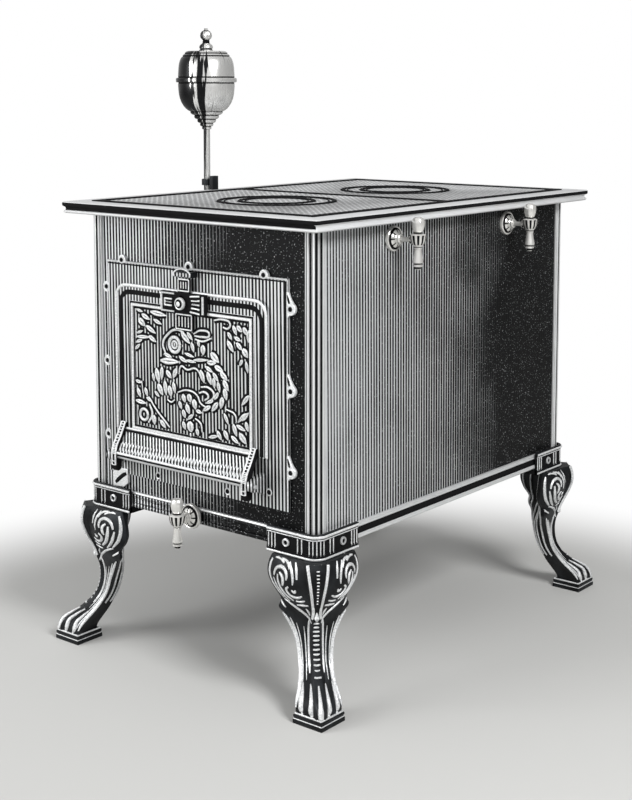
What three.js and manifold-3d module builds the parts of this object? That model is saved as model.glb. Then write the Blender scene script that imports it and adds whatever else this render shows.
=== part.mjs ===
// Spirit stove on four cast cabriole legs: a sheet-iron body with moulded corners, a cast hob with two
// ring places, a drop-down oven door with an offset pivot and a slide latch, three lever taps and a spirit
// reservoir on a riser pipe. Millimetres, +Z up, origin on the floor under the middle of the whole stove.
// The pieces are drawn about the middle of the body, and the group is moved to the origin at the end. The
// door looks along -Y, the two hob taps are on the +X side and the reservoir is on the -X side.

import * as THREE from 'three';
import { mergeVertices } from 'three/addons/utils/BufferGeometryUtils.js';
import Module from 'manifold-3d';

const wasm = await Module();
wasm.setup();

// Clearances shared by the whole stove
const seatGap = 0.3;
const runGap = 0.4;
const overrun = 5;

// Body
const bodyWidth = 482;
const bodyDepth = 716;
const bodyBottom = 245;
const hobTop = 750;
const sheet = 2;

// Corner posts
const postReach = 22;
const postWall = 2.5;
const postRound = 9;
const postBeadRadii = [2.6, 1.5];
const postBeadPlaces = [13.2, 18.6];

// Base rails
const railHeight = 26;
const railBead = 4.2;
const railRound = 1.5;

// Hob
const hobOverhangSide = 32.5;
const hobOverhangEnd = 39.5;
const hobPlate = 10;
const hobEdge = 19;
const hobRimWall = 9;
const hobNose = 2.5;
const hobCove = 5;
const hobBead = 3;
const hobCornerRound = 5;
const hobLineInset = 38;
const hobLineWidth = 4;
const panelBar = 22;
const panelSink = 1.6;
const ringPlace = 166.5;
const ringRadius = 100;
const ringThickness = 6;
const ringSeat = 6;
const ringRim = 5;
const ridgeHeight = 1.4;
const ridgeWidth = 3;
const lidRadius = 65;
const lidFlange = 3;

// Cast legs
const plinthSize = 55.5;
const plinthHeight = 16;
const plinthOut = 51.5;
const kneeHalfWidth = 70;
const shoeReach = 91;
const shoeDrop = 10;
const shoeRise = 30;
const shoeWall = 5;
const shoeRound = 20;
const shoeFrame = 5;
const shoeSink = 1.2;
const ledgeHeel = 24;
const toeRadius = 8.5;
const toeLength = 11;

// Leg bolts
const boltPlace = 52;
const boltHeight = 10;
const boltRadius = 3.5;
const boltHeadRadius = 6.5;
const boltHead = 4;
const boltBore = 3.9;

// Door frame and oven mouth
const frameShift = -8;
const frameMargin = 45;
const frameOverDoor = 36.5;
const frameUnderPivot = 36;
const frameWall = 5;
const earRadius = 9;
const earOut = 1.5;
const mouthWidth = 300;
const mouthLift = 143;
const mouthDrop = 147;

// Door leaf
const doorShift = -17;
const doorWidth = 332;
const doorLapTop = 15.5;
const doorLapFoot = 12;
const doorWall = 5;
const doorRound = 25;
const doorRoundSteps = 5;
const mouldWidth = 267;
const mouldLift = 1;
const mouldDrop = 35;
const mouldBead = 7;
const mouldProud = 3;
const doorEdgeBead = 5;
const doorEdgeProud = 1.5;

// Door pivot
const pivotDrop = 40;
const pivotOut = 25;
const rodRadius = 4;
const cheekSpan = 286;
const cheekThickness = 10;
const cheekHalf = 7;
const apronWall = 3.5;
const lugThickness = 12;
const lugEye = 8.5;

// Latch
const latchDrop = 17.7;
const guideWidth = 95;
const guideHeight = 33;
const guideWall = 3;
const boltStrap = 3;
const boltBelow = 43.8;
const boltAbove = 39.2;
const boltWide = 38;
const boltNarrow = 26;
const boltStep = 8;
const latchTravel = 8;
const latchKnobRadius = 10;
const latchKnobDepth = 7;
const latchStem = 4;
const keeperGap = 2;
const keeperHeight = 9;
const keeperPost = 6;
const keeperWall = 3;
const ribCount = 3;
const ribSize = 2.4;
const ribLength = 22;

// Oven
const ovenDepth = 500;
const ovenFlange = 12;
const ovenRunner = 8;
const shelfLift = 98;
const shelfWall = 3;
const shelfSlots = 9;
const shelfSlotWidth = 12;
const shelfBorder = 18;

// Burners, tray and base pan
const trayOverMouth = 15;
const trayLip = 14;
const burnerRadius = 46;
const burnerDepth = 28;
const burnerWall = 3;
const burnerCore = 14;
const burnerColumn = 9;
const burnerFoot = 30;
const burnerFootWall = 4;
const burnerBoss = 9;
const burnerBossOut = 14;
const ovenBurnerRadius = 62;
const ovenBurnerBack = 250;
const ovenBurnerLift = 40;
const ovenBurnerColumn = 16;
const panLip = 16;
const ventCount = 5;
const ventWidth = 9;
const ventLength = 90;
const ventPitch = 60;
const ventDrop = 40;

// Taps
const hobTapDrop = 46.5;
const ovenTapLift = 12;
const ovenTapShift = -12;
const spindleRadius = 4;
const needleLength = 10;
const rosetteRadius = 20.5;
const rosetteDepth = 17;
const rosetteCollar = 8;
const rosettePetals = 8;
const petalShare = 0.05;
const hobHandleOut = 46;
const ovenHandleOut = 38;
const handleUp = 36;
const handleDown = 46;
const handleHub = 13;
const socketLength = 16;
const socketRadius = 6.5;

// Spirit supply
const pipeRadius = 6;
const riserOut = 43;
const riserPlace = -34;
const pipeBend = 18;
const manifoldInset = 36;
const clampHeight = 25;
const clampWidth = 15;
const clampHold = 8;
const clampEye = 10;

// Reservoir
const bowlOverHob = 111;
const bowlSocket = 20;
const bowlTall = 90;
const bowlRadius = 52;
const vesselWall = 2;
const bandRadius = 56;
const bandHeight = 8;
const bandLip = 1.2;
const domeTall = 53;
const neckRadius = 9;
const capTall = 42;
const capFlange = 12.5;

// Faceting
const fine = 28;
const medium = 16;
const small = 10;

// Levels and faces worked out from the sizes above
const halfWidth = bodyWidth / 2;
const halfDepth = bodyDepth / 2;
const bodyTop = hobTop - hobPlate - seatGap;
const mouthBottom = bodyBottom + mouthLift;
const mouthTop = hobTop - mouthDrop;
const doorFoot = mouthBottom - doorLapFoot;
const doorTop = mouthTop + doorLapTop;
const mouldBottom = doorFoot + mouldLift;
const mouldTop = doorTop - mouldDrop;
const pivotHeight = doorFoot - pivotDrop;
const frameWidth = bodyWidth - frameMargin * 2;
const frameTop = doorTop + frameOverDoor;
const frameBottom = pivotHeight - frameUnderPivot;
const latchHeight = doorTop - latchDrop;
const boltFoot = latchHeight - boltBelow;
const boltTop = latchHeight + boltAbove;
const shelfLevel = mouthBottom + shelfLift;
const trayLevel = mouthTop + trayOverMouth;
const ovenBurnerLevel = bodyBottom + ovenBurnerLift;
const hobTapHeight = hobTop - hobTapDrop;
const ovenTapHeight = bodyBottom + ovenTapLift;
const bowlFoot = hobTop + bowlOverHob;
const equator = bowlFoot + bowlTall;
const domeTop = equator + domeTall;
const capTop = domeTop + capTall;
const panelRecess = postWall + seatGap;
const panelInside = panelRecess + sheet;
const postHeel = postWall + postRound / 2;
const panelEnd = postHeel + postWall - panelRecess + seatGap * 2;
const frameBack = -(halfDepth - panelRecess) - seatGap;
const frameFront = frameBack - frameWall;
const leafBack = frameFront - seatGap;
const leafFront = leafBack - doorWall;
const pivotY = frameFront - pivotOut;
const shoeInner = railBead + seatGap;
const shoeOuter = shoeInner + shoeWall;
const legTop = bodyBottom - seatGap;
const riserX = -(halfWidth + riserOut);
const manifoldX = -(halfWidth - manifoldInset);
const dropPlace = -halfDepth + ovenBurnerBack;
const ringBore = ringRadius - ringSeat;
const lidBore = lidRadius - ringSeat;

// Corners in the order front right, rear right, rear left, front left
const corners = [
  { name: 'front_right', x: halfWidth, y: -halfDepth, turn: -Math.PI / 2 },
  { name: 'rear_right', x: halfWidth, y: halfDepth, turn: 0 },
  { name: 'rear_left', x: -halfWidth, y: halfDepth, turn: Math.PI / 2 },
  { name: 'front_left', x: -halfWidth, y: -halfDepth, turn: Math.PI },
];

const materials = {
  sheetIron: { color: 0x34363a, roughness: 0.5, metalness: 0.7 },
  castIron: { color: 0x1f2023, roughness: 0.6, metalness: 0.6 },
  moulding: { color: 0xb9bcc0, roughness: 0.3, metalness: 0.9 },
  nickel: { color: 0xd8d9da, roughness: 0.2, metalness: 1.0 },
  brass: { color: 0xb08a4a, roughness: 0.35, metalness: 1.0 },
};

const stove = new THREE.Group();

function add(name, geometry, look) {
  const mesh = new THREE.Mesh(geometry, new THREE.MeshStandardMaterial(materials[look]));
  mesh.name = name;
  stove.add(mesh);
  return mesh;
}

// Merges shared corners, drops empty triangles and turns all faces outward
function closed(geometry) {
  const bare = geometry.clone();
  bare.deleteAttribute('normal');
  bare.deleteAttribute('uv');
  const merged = mergeVertices(bare);
  const place = merged.attributes.position;
  const index = merged.index.array;
  const kept = [];
  let volume = 0;
  const a = new THREE.Vector3();
  const b = new THREE.Vector3();
  const c = new THREE.Vector3();
  for (let i = 0; i < index.length; i += 3) {
    const [p, q, r] = [index[i], index[i + 1], index[i + 2]];
    if (p === q || q === r || r === p) continue;
    kept.push(p, q, r);
    a.fromBufferAttribute(place, p);
    b.fromBufferAttribute(place, q);
    c.fromBufferAttribute(place, r);
    volume += a.dot(b.cross(c));
  }
  if (volume < 0) kept.reverse();
  merged.setIndex(kept);
  return merged;
}

function solidOf(geometry) {
  const tidy = closed(geometry);
  return new wasm.Manifold(new wasm.Mesh({
    numProp: 3,
    vertProperties: new Float32Array(tidy.attributes.position.array),
    triVerts: new Uint32Array(tidy.index.array),
  }));
}

function geometryOf(solid) {
  const mesh = solid.getMesh();
  const geometry = new THREE.BufferGeometry();
  geometry.setAttribute('position', new THREE.BufferAttribute(mesh.vertProperties, 3));
  geometry.setIndex(new THREE.BufferAttribute(mesh.triVerts, 1));
  return geometry;
}

function joined(...pieces) {
  return geometryOf(pieces.map(solidOf).reduce((whole, piece) => whole.add(piece)));
}

function cut(body, ...tools) {
  return geometryOf(tools.map(solidOf).reduce((rest, tool) => rest.subtract(tool), solidOf(body)));
}

function box(x0, x1, y0, y1, z0, z1) {
  const block = new THREE.BoxGeometry(x1 - x0, y1 - y0, z1 - z0);
  return block.translate((x0 + x1) / 2, (y0 + y1) / 2, (z0 + z1) / 2);
}

// A profile of [radius, height] pairs turned about the Z axis
function turned(profile, sides) {
  const points = profile.map(([radius, height]) => new THREE.Vector2(radius, height));
  return closed(new THREE.LatheGeometry(points, sides).rotateX(Math.PI / 2));
}

// The same, as a ring whose profile closes on itself
function turnedRing(profile, sides) {
  return turned([...profile, profile[0]], sides);
}

function cylinder(radius, z0, z1, sides) {
  return turned([[0, z0], [radius, z0], [radius, z1], [0, z1]], sides);
}

function alongX(geometry) {
  return geometry.rotateY(Math.PI / 2);
}

function alongFront(geometry) {
  return geometry.rotateX(Math.PI / 2);
}

function shapeOf(points) {
  return new THREE.Shape(points.map(([x, y]) => new THREE.Vector2(x, y)));
}

function prismZ(shape, z0, z1, steps = 6) {
  const options = { depth: z1 - z0, bevelEnabled: false, curveSegments: steps };
  return new THREE.ExtrudeGeometry(shape, options).translate(0, 0, z0);
}

// A shape drawn in (y, z), drawn out along X
function prismX(shape, x0, x1, steps = 6) {
  const turn = new THREE.Matrix4().makeBasis(
    new THREE.Vector3(0, 1, 0),
    new THREE.Vector3(0, 0, 1),
    new THREE.Vector3(1, 0, 0),
  );
  return prismZ(shape, x0, x1, steps).applyMatrix4(turn);
}

// A shape drawn in (x, z), drawn out from a back plane toward the front
function prismFront(shape, yBack, depth, steps = 6) {
  return prismZ(shape, 0, depth, steps).rotateX(Math.PI / 2).translate(0, yBack, 0);
}

// Rings of points joined by a skin, with a flat cap on each end ring
function skinned(rings, capOf) {
  const count = rings[0].length;
  const places = rings.flat().flatMap((p) => [p.x, p.y, p.z]);
  const faces = [];
  for (let i = 0; i + 1 < rings.length; i += 1) {
    for (let j = 0; j < count; j += 1) {
      const low = i * count + j;
      const next = i * count + (j + 1) % count;
      faces.push(low, next, next + count, low, next + count, low + count);
    }
  }
  const last = (rings.length - 1) * count;
  for (const [p, q, r] of capOf(rings[0])) faces.push(r, q, p);
  for (const [p, q, r] of capOf(rings[rings.length - 1])) faces.push(last + p, last + q, last + r);
  const geometry = new THREE.BufferGeometry();
  geometry.setAttribute('position', new THREE.Float32BufferAttribute(places, 3));
  geometry.setIndex(faces);
  return closed(geometry);
}

function levelCap(ring) {
  return THREE.ShapeUtils.triangulateShape(ring.map((p) => new THREE.Vector2(p.x, p.y)), []);
}

function fanCap(ring) {
  return ring.slice(2).map((_, i) => [0, i + 1, i + 2]);
}

// Level outlines stacked in Z
function stacked(layers) {
  return skinned(layers.map(({ z, points }) => points.map(([x, y]) => new THREE.Vector3(x, y, z))), levelCap);
}

// A rectangle with rounded corners as a ring of points
function roundedBox(halfX, halfY, radius, steps = 3) {
  const points = [];
  for (let corner = 0; corner < 4; corner += 1) {
    const signX = corner === 0 || corner === 3 ? 1 : -1;
    const signY = corner < 2 ? 1 : -1;
    for (let i = 0; i <= steps; i += 1) {
      const angle = (corner + i / steps) * Math.PI / 2;
      points.push([
        signX * (halfX - radius) + radius * Math.cos(angle),
        signY * (halfY - radius) + radius * Math.sin(angle),
      ]);
    }
  }
  return points;
}

// A round pipe along straight runs, with a bend of the given radius at each inner point
function pipe(route, radius, bend, sides = small) {
  const points = route.map((p) => new THREE.Vector3(...p));
  const centres = [points[0]];
  for (let i = 1; i + 1 < points.length; i += 1) {
    const before = points[i - 1].clone().sub(points[i]).normalize();
    const after = points[i + 1].clone().sub(points[i]).normalize();
    const start = points[i].clone().addScaledVector(before, bend);
    const end = points[i].clone().addScaledVector(after, bend);
    centres.push(...new THREE.QuadraticBezierCurve3(start, points[i], end).getPoints(3));
  }
  centres.push(points[points.length - 1]);
  let side = null;
  const rings = centres.map((centre, i) => {
    const ahead = centres[Math.min(i + 1, centres.length - 1)];
    const behind = centres[Math.max(i - 1, 0)];
    const along = ahead.clone().sub(behind).normalize();
    if (!side) side = Math.abs(along.z) > 0.5 ? new THREE.Vector3(1, 0, 0) : new THREE.Vector3(0, 0, 1);
    side = side.clone().addScaledVector(along, -side.dot(along)).normalize();
    const other = along.clone().cross(side);
    return Array.from({ length: sides }, (_, j) => {
      const angle = 2 * Math.PI * j / sides;
      const point = centre.clone().addScaledVector(side, radius * Math.cos(angle));
      return point.addScaledVector(other, radius * Math.sin(angle));
    });
  });
  return skinned(rings, fanCap);
}

// Bores for the bolts that hold each leg to the body, two at each corner
function boltAxes() {
  return corners.flatMap(({ name, x, y }) => [
    { name: `leg_bolt_${name}_a`, x, y: y - Math.sign(y) * boltPlace, out: Math.sign(x), side: 'x' },
    { name: `leg_bolt_${name}_b`, x: x - Math.sign(x) * boltPlace, y, out: Math.sign(y), side: 'y' },
  ]);
}

function placedOnAxis(geometry, axis) {
  const angle = axis.side === 'x' ? axis.out * Math.PI / 2 : 0;
  const tilt = axis.side === 'y' ? -axis.out * Math.PI / 2 : 0;
  return geometry.rotateY(angle).rotateX(tilt).translate(axis.x, axis.y, bodyBottom + boltHeight);
}

function boltBores() {
  const bore = () => cylinder(boltBore, -postWall - seatGap, shoeOuter + overrun, small);
  return boltAxes().map((axis) => placedOnAxis(bore(), axis));
}

function spindleBore(radius, front, place, height, reach) {
  const bore = cylinder(radius, -reach, overrun * 2, small);
  if (front) return alongFront(bore).translate(place, -halfDepth, height);
  return alongX(bore).translate(halfWidth, place, height);
}

// Bodywork

function cornerPost() {
  const shape = new THREE.Shape();
  shape.moveTo(-postReach, 0);
  for (const i of [1, 0]) {
    const radius = postBeadRadii[i];
    shape.lineTo(-postBeadPlaces[i] - radius, 0);
    shape.absarc(-postBeadPlaces[i], 0, radius, Math.PI, 0, true);
  }
  shape.lineTo(-postRound, 0);
  shape.absarc(-postRound, -postRound, postRound, Math.PI / 2, 0, true);
  for (const i of [0, 1]) {
    const radius = postBeadRadii[i];
    shape.lineTo(0, -postBeadPlaces[i] + radius);
    shape.absarc(0, -postBeadPlaces[i], radius, Math.PI / 2, -Math.PI / 2, true);
  }
  shape.lineTo(0, -postReach);
  shape.lineTo(-postWall, -postReach);
  shape.lineTo(-postWall, -postHeel);
  shape.lineTo(-postHeel, -postWall);
  shape.lineTo(-postReach, -postWall);
  return closed(prismZ(shape, bodyBottom, bodyTop, 4));
}

function railShape() {
  const shape = new THREE.Shape();
  shape.moveTo(-postWall, 0);
  shape.lineTo(0, 0);
  shape.absarc(0, railBead, railBead, -Math.PI / 2, Math.PI / 2, false);
  shape.lineTo(0, railHeight - railRound);
  shape.lineTo(-railRound, railHeight);
  shape.lineTo(-postWall, railHeight);
  return shape;
}

function baseRail(length, distance, turn) {
  const rail = prismX(railShape(), -length / 2, length / 2, 4);
  return closed(rail.rotateZ(Math.PI).translate(0, -distance, bodyBottom).rotateZ(turn));
}

function endPanel(sign) {
  const reach = halfWidth - panelEnd;
  const outer = halfDepth - panelRecess;
  const inner = outer - sheet;
  return box(-reach, reach, Math.min(sign * inner, sign * outer), Math.max(sign * inner, sign * outer),
    bodyBottom, bodyTop);
}

function sidePanel(sign) {
  const reach = halfDepth - panelEnd;
  const outer = halfWidth - panelRecess;
  const inner = outer - sheet;
  return box(Math.min(sign * inner, sign * outer), Math.max(sign * inner, sign * outer), -reach, reach,
    bodyBottom, bodyTop);
}

function mouthCutter(grow, yBack, depth) {
  const half = mouthWidth / 2 + grow;
  return box(doorShift - half, doorShift + half, yBack - depth, yBack, mouthBottom - grow, mouthTop + grow);
}

function ventCutters(place, level, size) {
  return Array.from({ length: ventCount }, (_, i) => {
    const x = (i - (ventCount - 1) / 2) * ventPitch;
    return place(x, level, size);
  });
}

function basePan() {
  const halfX = halfWidth - panelInside - seatGap;
  const halfY = halfDepth - panelInside - seatGap;
  const tub = box(-halfX, halfX, -halfY, halfY, bodyBottom, bodyBottom + panLip);
  const hollow = box(-halfX + sheet, halfX - sheet, -halfY + sheet, halfY - sheet,
    bodyBottom + sheet, bodyBottom + panLip + overrun);
  const slots = ventCutters((x) => box(x - ventWidth / 2, x + ventWidth / 2, -ventLength / 2, ventLength / 2,
    bodyBottom - overrun, bodyBottom + sheet + overrun));
  const tap = spindleBore(spindleRadius + runGap * 2, true, ovenTapShift, ovenTapHeight, halfDepth / 2);
  return cut(tub, hollow, ...slots, tap);
}

function burnerTray() {
  const halfX = halfWidth - panelInside - seatGap;
  const halfY = halfDepth - panelInside - seatGap;
  const tub = box(-halfX, halfX, -halfY, halfY, trayLevel, trayLevel + trayLip);
  const hollow = box(-halfX + sheet, halfX - sheet, -halfY + sheet, halfY - sheet,
    trayLevel + sheet, trayLevel + trayLip + overrun);
  const hole = cylinder(pipeRadius + runGap * 2, trayLevel - overrun, trayLevel + overrun, small);
  return cut(tub, hollow, hole.translate(manifoldX, dropPlace, 0));
}

// Hob

function hobPlateWithPlaces() {
  const halfX = halfWidth + hobOverhangSide;
  const halfY = halfDepth + hobOverhangEnd;
  const foot = hobTop - hobEdge;
  const layers = [
    [foot, -hobCove],
    [foot + hobBead / 2, -hobCove + hobBead],
    [foot + hobBead * 1.5, -hobCove + hobBead],
    [foot + hobBead * 2, -hobCove],
    [hobTop - hobNose * 3, -hobNose],
    [hobTop - hobNose * 2, 0],
    [hobTop - hobNose / 2, 0],
    [hobTop, -hobNose / 2],
  ];
  const slab = stacked(layers.map(([z, out]) => ({
    z,
    points: roundedBox(halfX + out, halfY + out, hobCornerRound),
  })));
  const inX = halfX - hobCove - hobRimWall;
  const inY = halfY - hobCove - hobRimWall;
  const hollow = box(-inX, inX, -inY, inY, foot - overrun, hobTop - hobPlate);
  const sunk = [];
  for (const sign of [-1, 1]) {
    const near = panelBar / 2;
    const far = halfY - hobLineInset - hobLineWidth;
    const wide = halfX - hobLineInset - hobLineWidth;
    const pocket = box(-wide, wide, Math.min(sign * near, sign * far), Math.max(sign * near, sign * far),
      hobTop - panelSink, hobTop + overrun);
    const keepLow = hobTop - panelSink - overrun;
    const keep = cylinder(ringRadius + runGap + ringRim, keepLow, hobTop + overrun * 2, fine);
    sunk.push(cut(pocket, keep.translate(0, sign * ringPlace, 0)));
    const bore = cylinder(ringBore, foot - overrun, hobTop + overrun, fine);
    const rabbet = cylinder(ringRadius + runGap, hobTop - ringThickness - seatGap, hobTop + overrun, fine);
    sunk.push(bore.translate(0, sign * ringPlace, 0), rabbet.translate(0, sign * ringPlace, 0));
  }
  return cut(slab, hollow, ...sunk);
}

function hobRing() {
  const low = hobTop - ringThickness;
  const seat = hobTop - lidFlange - seatGap;
  const inner = lidRadius + runGap;
  return turnedRing([
    [lidBore + runGap, low], [ringRadius, low], [ringRadius, hobTop + ridgeHeight],
    [ringRadius - ridgeWidth, hobTop + ridgeHeight], [ringRadius - ridgeWidth - ridgeHeight, hobTop],
    [inner + ridgeWidth + ridgeHeight, hobTop], [inner + ridgeWidth, hobTop + ridgeHeight],
    [inner, hobTop + ridgeHeight], [inner, seat], [lidBore + runGap, seat],
  ], fine);
}

function ringLid() {
  const low = hobTop - ringThickness;
  return turned([
    [0, low], [lidBore, low], [lidBore, hobTop - lidFlange], [lidRadius, hobTop - lidFlange],
    [lidRadius, hobTop + ridgeHeight], [lidRadius - ridgeWidth, hobTop + ridgeHeight],
    [lidRadius - ridgeWidth - ridgeHeight, hobTop], [0, hobTop],
  ], fine);
}

// Legs: each section is [height, ridge, tongue, wing tip out, wing tip across, inside, bulge]. The height
// is a share of the leg from the top of its plinth to the shoe, the rest are shares of the knee's half width.
// "out" runs along the diagonal away from the stove and "across" at right angles to it.
const legSectionShares = [
  [1.000, 0.290, 0.215, -0.640, 0.900, -0.200, 0.02],
  [0.945, 0.350, 0.200, -0.690, 0.970, -0.200, 0.07],
  [0.875, 0.364, 0.170, -0.725, 1.000, -0.185, 0.10],
  [0.810, 0.310, 0.140, -0.730, 0.955, -0.205, 0.11],
  [0.745, 0.220, 0.110, -0.670, 0.840, -0.265, 0.09],
  [0.685, 0.125, 0.090, -0.560, 0.715, -0.350, 0.04],
  [0.630, 0.050, 0.085, -0.560, 0.770, -0.430, 0.01],
  [0.585, 0.000, 0.100, -0.500, 0.650, -0.520, 0.01],
  [0.520, -0.070, 0.107, -0.440, 0.520, -0.610, 0.02],
  [0.435, -0.084, 0.107, -0.360, 0.410, -0.605, 0.02],
  [0.345, -0.030, 0.107, -0.280, 0.360, -0.530, 0.02],
  [0.280, 0.080, 0.107, -0.180, 0.350, -0.450, 0.02],
  [0.230, 0.220, 0.115, -0.070, 0.350, -0.370, 0.03],
  [0.160, 0.500, 0.125, 0.120, 0.385, -0.240, 0.03],
  [0.100, 0.790, 0.130, 0.310, 0.445, -0.100, 0.02],
  [0.045, 0.900, 0.120, 0.420, 0.490, 0.020, 0.01],
  [0.000, 0.900, 0.120, 0.460, 0.490, 0.060, 0.00],
];

// One level section of the leg in the (x, y) axes of a corner whose faces look along +X and +Y
function legSection([, ridge, tongue, tipOut, tipAcross, inside, bulge]) {
  const half = [[ridge, 0], [ridge + 0.02, tongue * 0.75], [ridge - 0.02, tongue]];
  const start = [ridge - tongue, tongue * 1.35];
  for (const share of [0, 0.4, 0.8]) {
    const swell = bulge * Math.sin(Math.PI * Math.min(1, share * 1.05));
    half.push([
      start[0] + (tipOut + 0.05 - start[0]) * share + swell,
      start[1] + (tipAcross - start[1]) * share + swell,
    ]);
  }
  half.push([tipOut, tipAcross]);
  half.push([tipOut - 0.06, tipAcross - 0.09]);
  half.push([(tipOut + inside) / 2 - 0.05, tipAcross / 2 - 0.06]);
  half.push([inside, 0]);
  const back = half.slice(1, -1).reverse().map(([out, across]) => [out, -across]);
  return [...half, ...back].map(([out, across]) => [
    kneeHalfWidth * (out - across) / Math.SQRT2,
    kneeHalfWidth * (out + across) / Math.SQRT2,
  ]);
}

function legStem() {
  const foot = plinthHeight - overrun / 2;
  const tall = bodyBottom - shoeDrop - foot;
  return stacked([...legSectionShares].reverse().map((section) => ({
    z: foot + section[0] * tall + (section[0] === 1 ? overrun / 2 : 0),
    points: legSection(section),
  })));
}

function legPlinth() {
  return stacked([
    [0, 0], [plinthHeight * 0.7, 0], [plinthHeight, -plinthHeight * 0.15],
  ].map(([z, out]) => ({
    z,
    points: roundedBox(plinthSize / 2 + out, plinthSize / 2 + out, plinthHeight / 8, 1)
      .map(([x, y]) => [x + plinthOut - plinthSize / 2, y + plinthOut - plinthSize / 2]),
  })));
}

// Four toes fanned over the outer corner of the plinth
function legToes() {
  const centre = plinthOut - plinthSize / 2;
  return [-1.5, -0.5, 0.5, 1.5].map((place) => {
    const toe = new THREE.SphereGeometry(toeRadius, 7, 5).scale(toeLength / toeRadius, 0.85, 1.1);
    const spread = plinthSize * 0.3;
    const angle = Math.PI / 4 + place * 0.5;
    return toe.rotateZ(angle).translate(
      centre + spread * Math.cos(angle) * 0.95,
      centre + spread * Math.sin(angle) * 0.95,
      plinthHeight + toeRadius * 0.55,
    );
  });
}

function legShoe() {
  const low = bodyBottom - shoeDrop;
  const high = bodyBottom + shoeRise;
  const outline = new THREE.Shape();
  outline.moveTo(-shoeReach, shoeOuter);
  outline.lineTo(shoeOuter - shoeRound, shoeOuter);
  outline.absarc(shoeOuter - shoeRound, shoeOuter - shoeRound, shoeRound, Math.PI / 2, 0, true);
  outline.lineTo(shoeOuter, -shoeReach);
  outline.lineTo(-ledgeHeel, -shoeReach);
  outline.lineTo(-shoeReach, -ledgeHeel);
  const block = prismZ(outline, low, high, 6);
  const reach = shoeReach + overrun;
  const pocket = box(-reach, shoeInner, -reach, shoeInner, legTop, high + overrun);
  const sinks = [];
  const panelStart = shoeOuter - shoeRound - shoeFrame;
  const panelEnd = -shoeReach + shoeFrame;
  const panelLow = low + shoeFrame;
  const panelHigh = high - shoeFrame;
  sinks.push(box(panelEnd, panelStart, shoeOuter - shoeSink, shoeOuter + overrun, panelLow, panelHigh));
  sinks.push(box(shoeOuter - shoeSink, shoeOuter + overrun, panelEnd, panelStart, panelLow, panelHigh));
  return cut(block, pocket, ...sinks);
}

function leg() {
  return joined(legShoe(), legStem(), legPlinth(), ...legToes());
}

function legBolt() {
  const seat = shoeOuter - shoeSink + seatGap;
  const tip = -postWall;
  return turned([
    [0, tip], [boltRadius, tip], [boltRadius, seat], [boltHeadRadius, seat],
    [boltHeadRadius, seat + boltHead / 2], [boltHeadRadius / 2, seat + boltHead], [0, seat + boltHead],
  ], small);
}

// Door frame, door and latch

function earPlaces() {
  const left = frameShift - frameWidth / 2 - earOut;
  const right = frameShift + frameWidth / 2 + earOut;
  const tall = frameTop - frameBottom;
  const topShares = [-0.41, -0.023, 0.378];
  const sideShares = [0.172, 0.523, 0.873];
  const top = topShares.map((share) => [frameShift + share * frameWidth, frameTop + earOut]);
  const sides = sideShares.flatMap((share) => [left, right].map((x) => [x, frameBottom + share * tall]));
  return [...top, ...sides, [left + earRadius * 2, frameBottom - earOut]];
}

function frameLug(sign) {
  const root = pivotOut + frameWall / 2;
  const shape = new THREE.Shape();
  shape.moveTo(root, lugEye * 1.9);
  shape.quadraticCurveTo(lugEye * 1.2, lugEye * 1.6, 0, lugEye);
  shape.absarc(0, 0, lugEye, Math.PI / 2, Math.PI * 1.5, false);
  shape.quadraticCurveTo(lugEye * 1.6, -lugEye, root, -lugEye * 2.5);
  const inner = cheekSpan / 2 + cheekThickness / 2 + runGap;
  const x0 = sign > 0 ? inner : -inner - lugThickness;
  return closed(prismX(shape, x0, x0 + lugThickness, 6)).translate(doorShift, pivotY, pivotHeight);
}

function rodBore(radius) {
  const reach = cheekSpan / 2 + cheekThickness + lugThickness + overrun;
  return alongX(cylinder(radius, -reach, reach, small)).translate(doorShift, pivotY, pivotHeight);
}

function doorFrame() {
  const half = frameWidth / 2;
  const plate = box(frameShift - half, frameShift + half, frameFront, frameBack, frameBottom, frameTop);
  const ears = earPlaces().map(([x, z]) => alongFront(cylinder(earRadius, 0, frameWall, medium - 2))
    .translate(x, frameBack, z));
  const whole = joined(plate, ...ears, frameLug(-1), frameLug(1));
  const mouth = mouthCutter(0, frameBack + overrun, frameWall + overrun * 2);
  return cut(whole, mouth, rodBore(rodRadius + runGap));
}

function hingeRod() {
  const reach = cheekSpan / 2 + cheekThickness / 2 + lugThickness + runGap;
  return alongX(turned([
    [0, -reach - rodRadius / 2], [rodRadius * 0.7, -reach - rodRadius / 2], [rodRadius, -reach],
    [rodRadius, reach], [rodRadius * 0.7, reach + rodRadius / 2], [0, reach + rodRadius / 2],
  ], small)).translate(doorShift, pivotY, pivotHeight);
}

function leafShape(shrink) {
  const half = doorWidth / 2 - shrink;
  const top = doorTop - shrink;
  const radius = doorRound - shrink;
  const shape = new THREE.Shape();
  shape.moveTo(doorShift - half, doorFoot - shrink);
  shape.lineTo(doorShift + half, doorFoot - shrink);
  shape.lineTo(doorShift + half, top - radius);
  shape.absarc(doorShift + half - radius, top - radius, radius, 0, Math.PI / 2, false);
  shape.lineTo(doorShift - half + radius, top);
  shape.absarc(doorShift - half + radius, top - radius, radius, Math.PI / 2, Math.PI, false);
  return shape;
}

function rectangleRing(halfX, halfZ, depth) {
  return [[-halfX, -halfZ], [halfX, -halfZ], [halfX, halfZ], [-halfX, halfZ]]
    .map(([x, z]) => new THREE.Vector3(x, -depth, z));
}

function facingCap() {
  return [[0, 1, 2], [0, 2, 3]];
}

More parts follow.
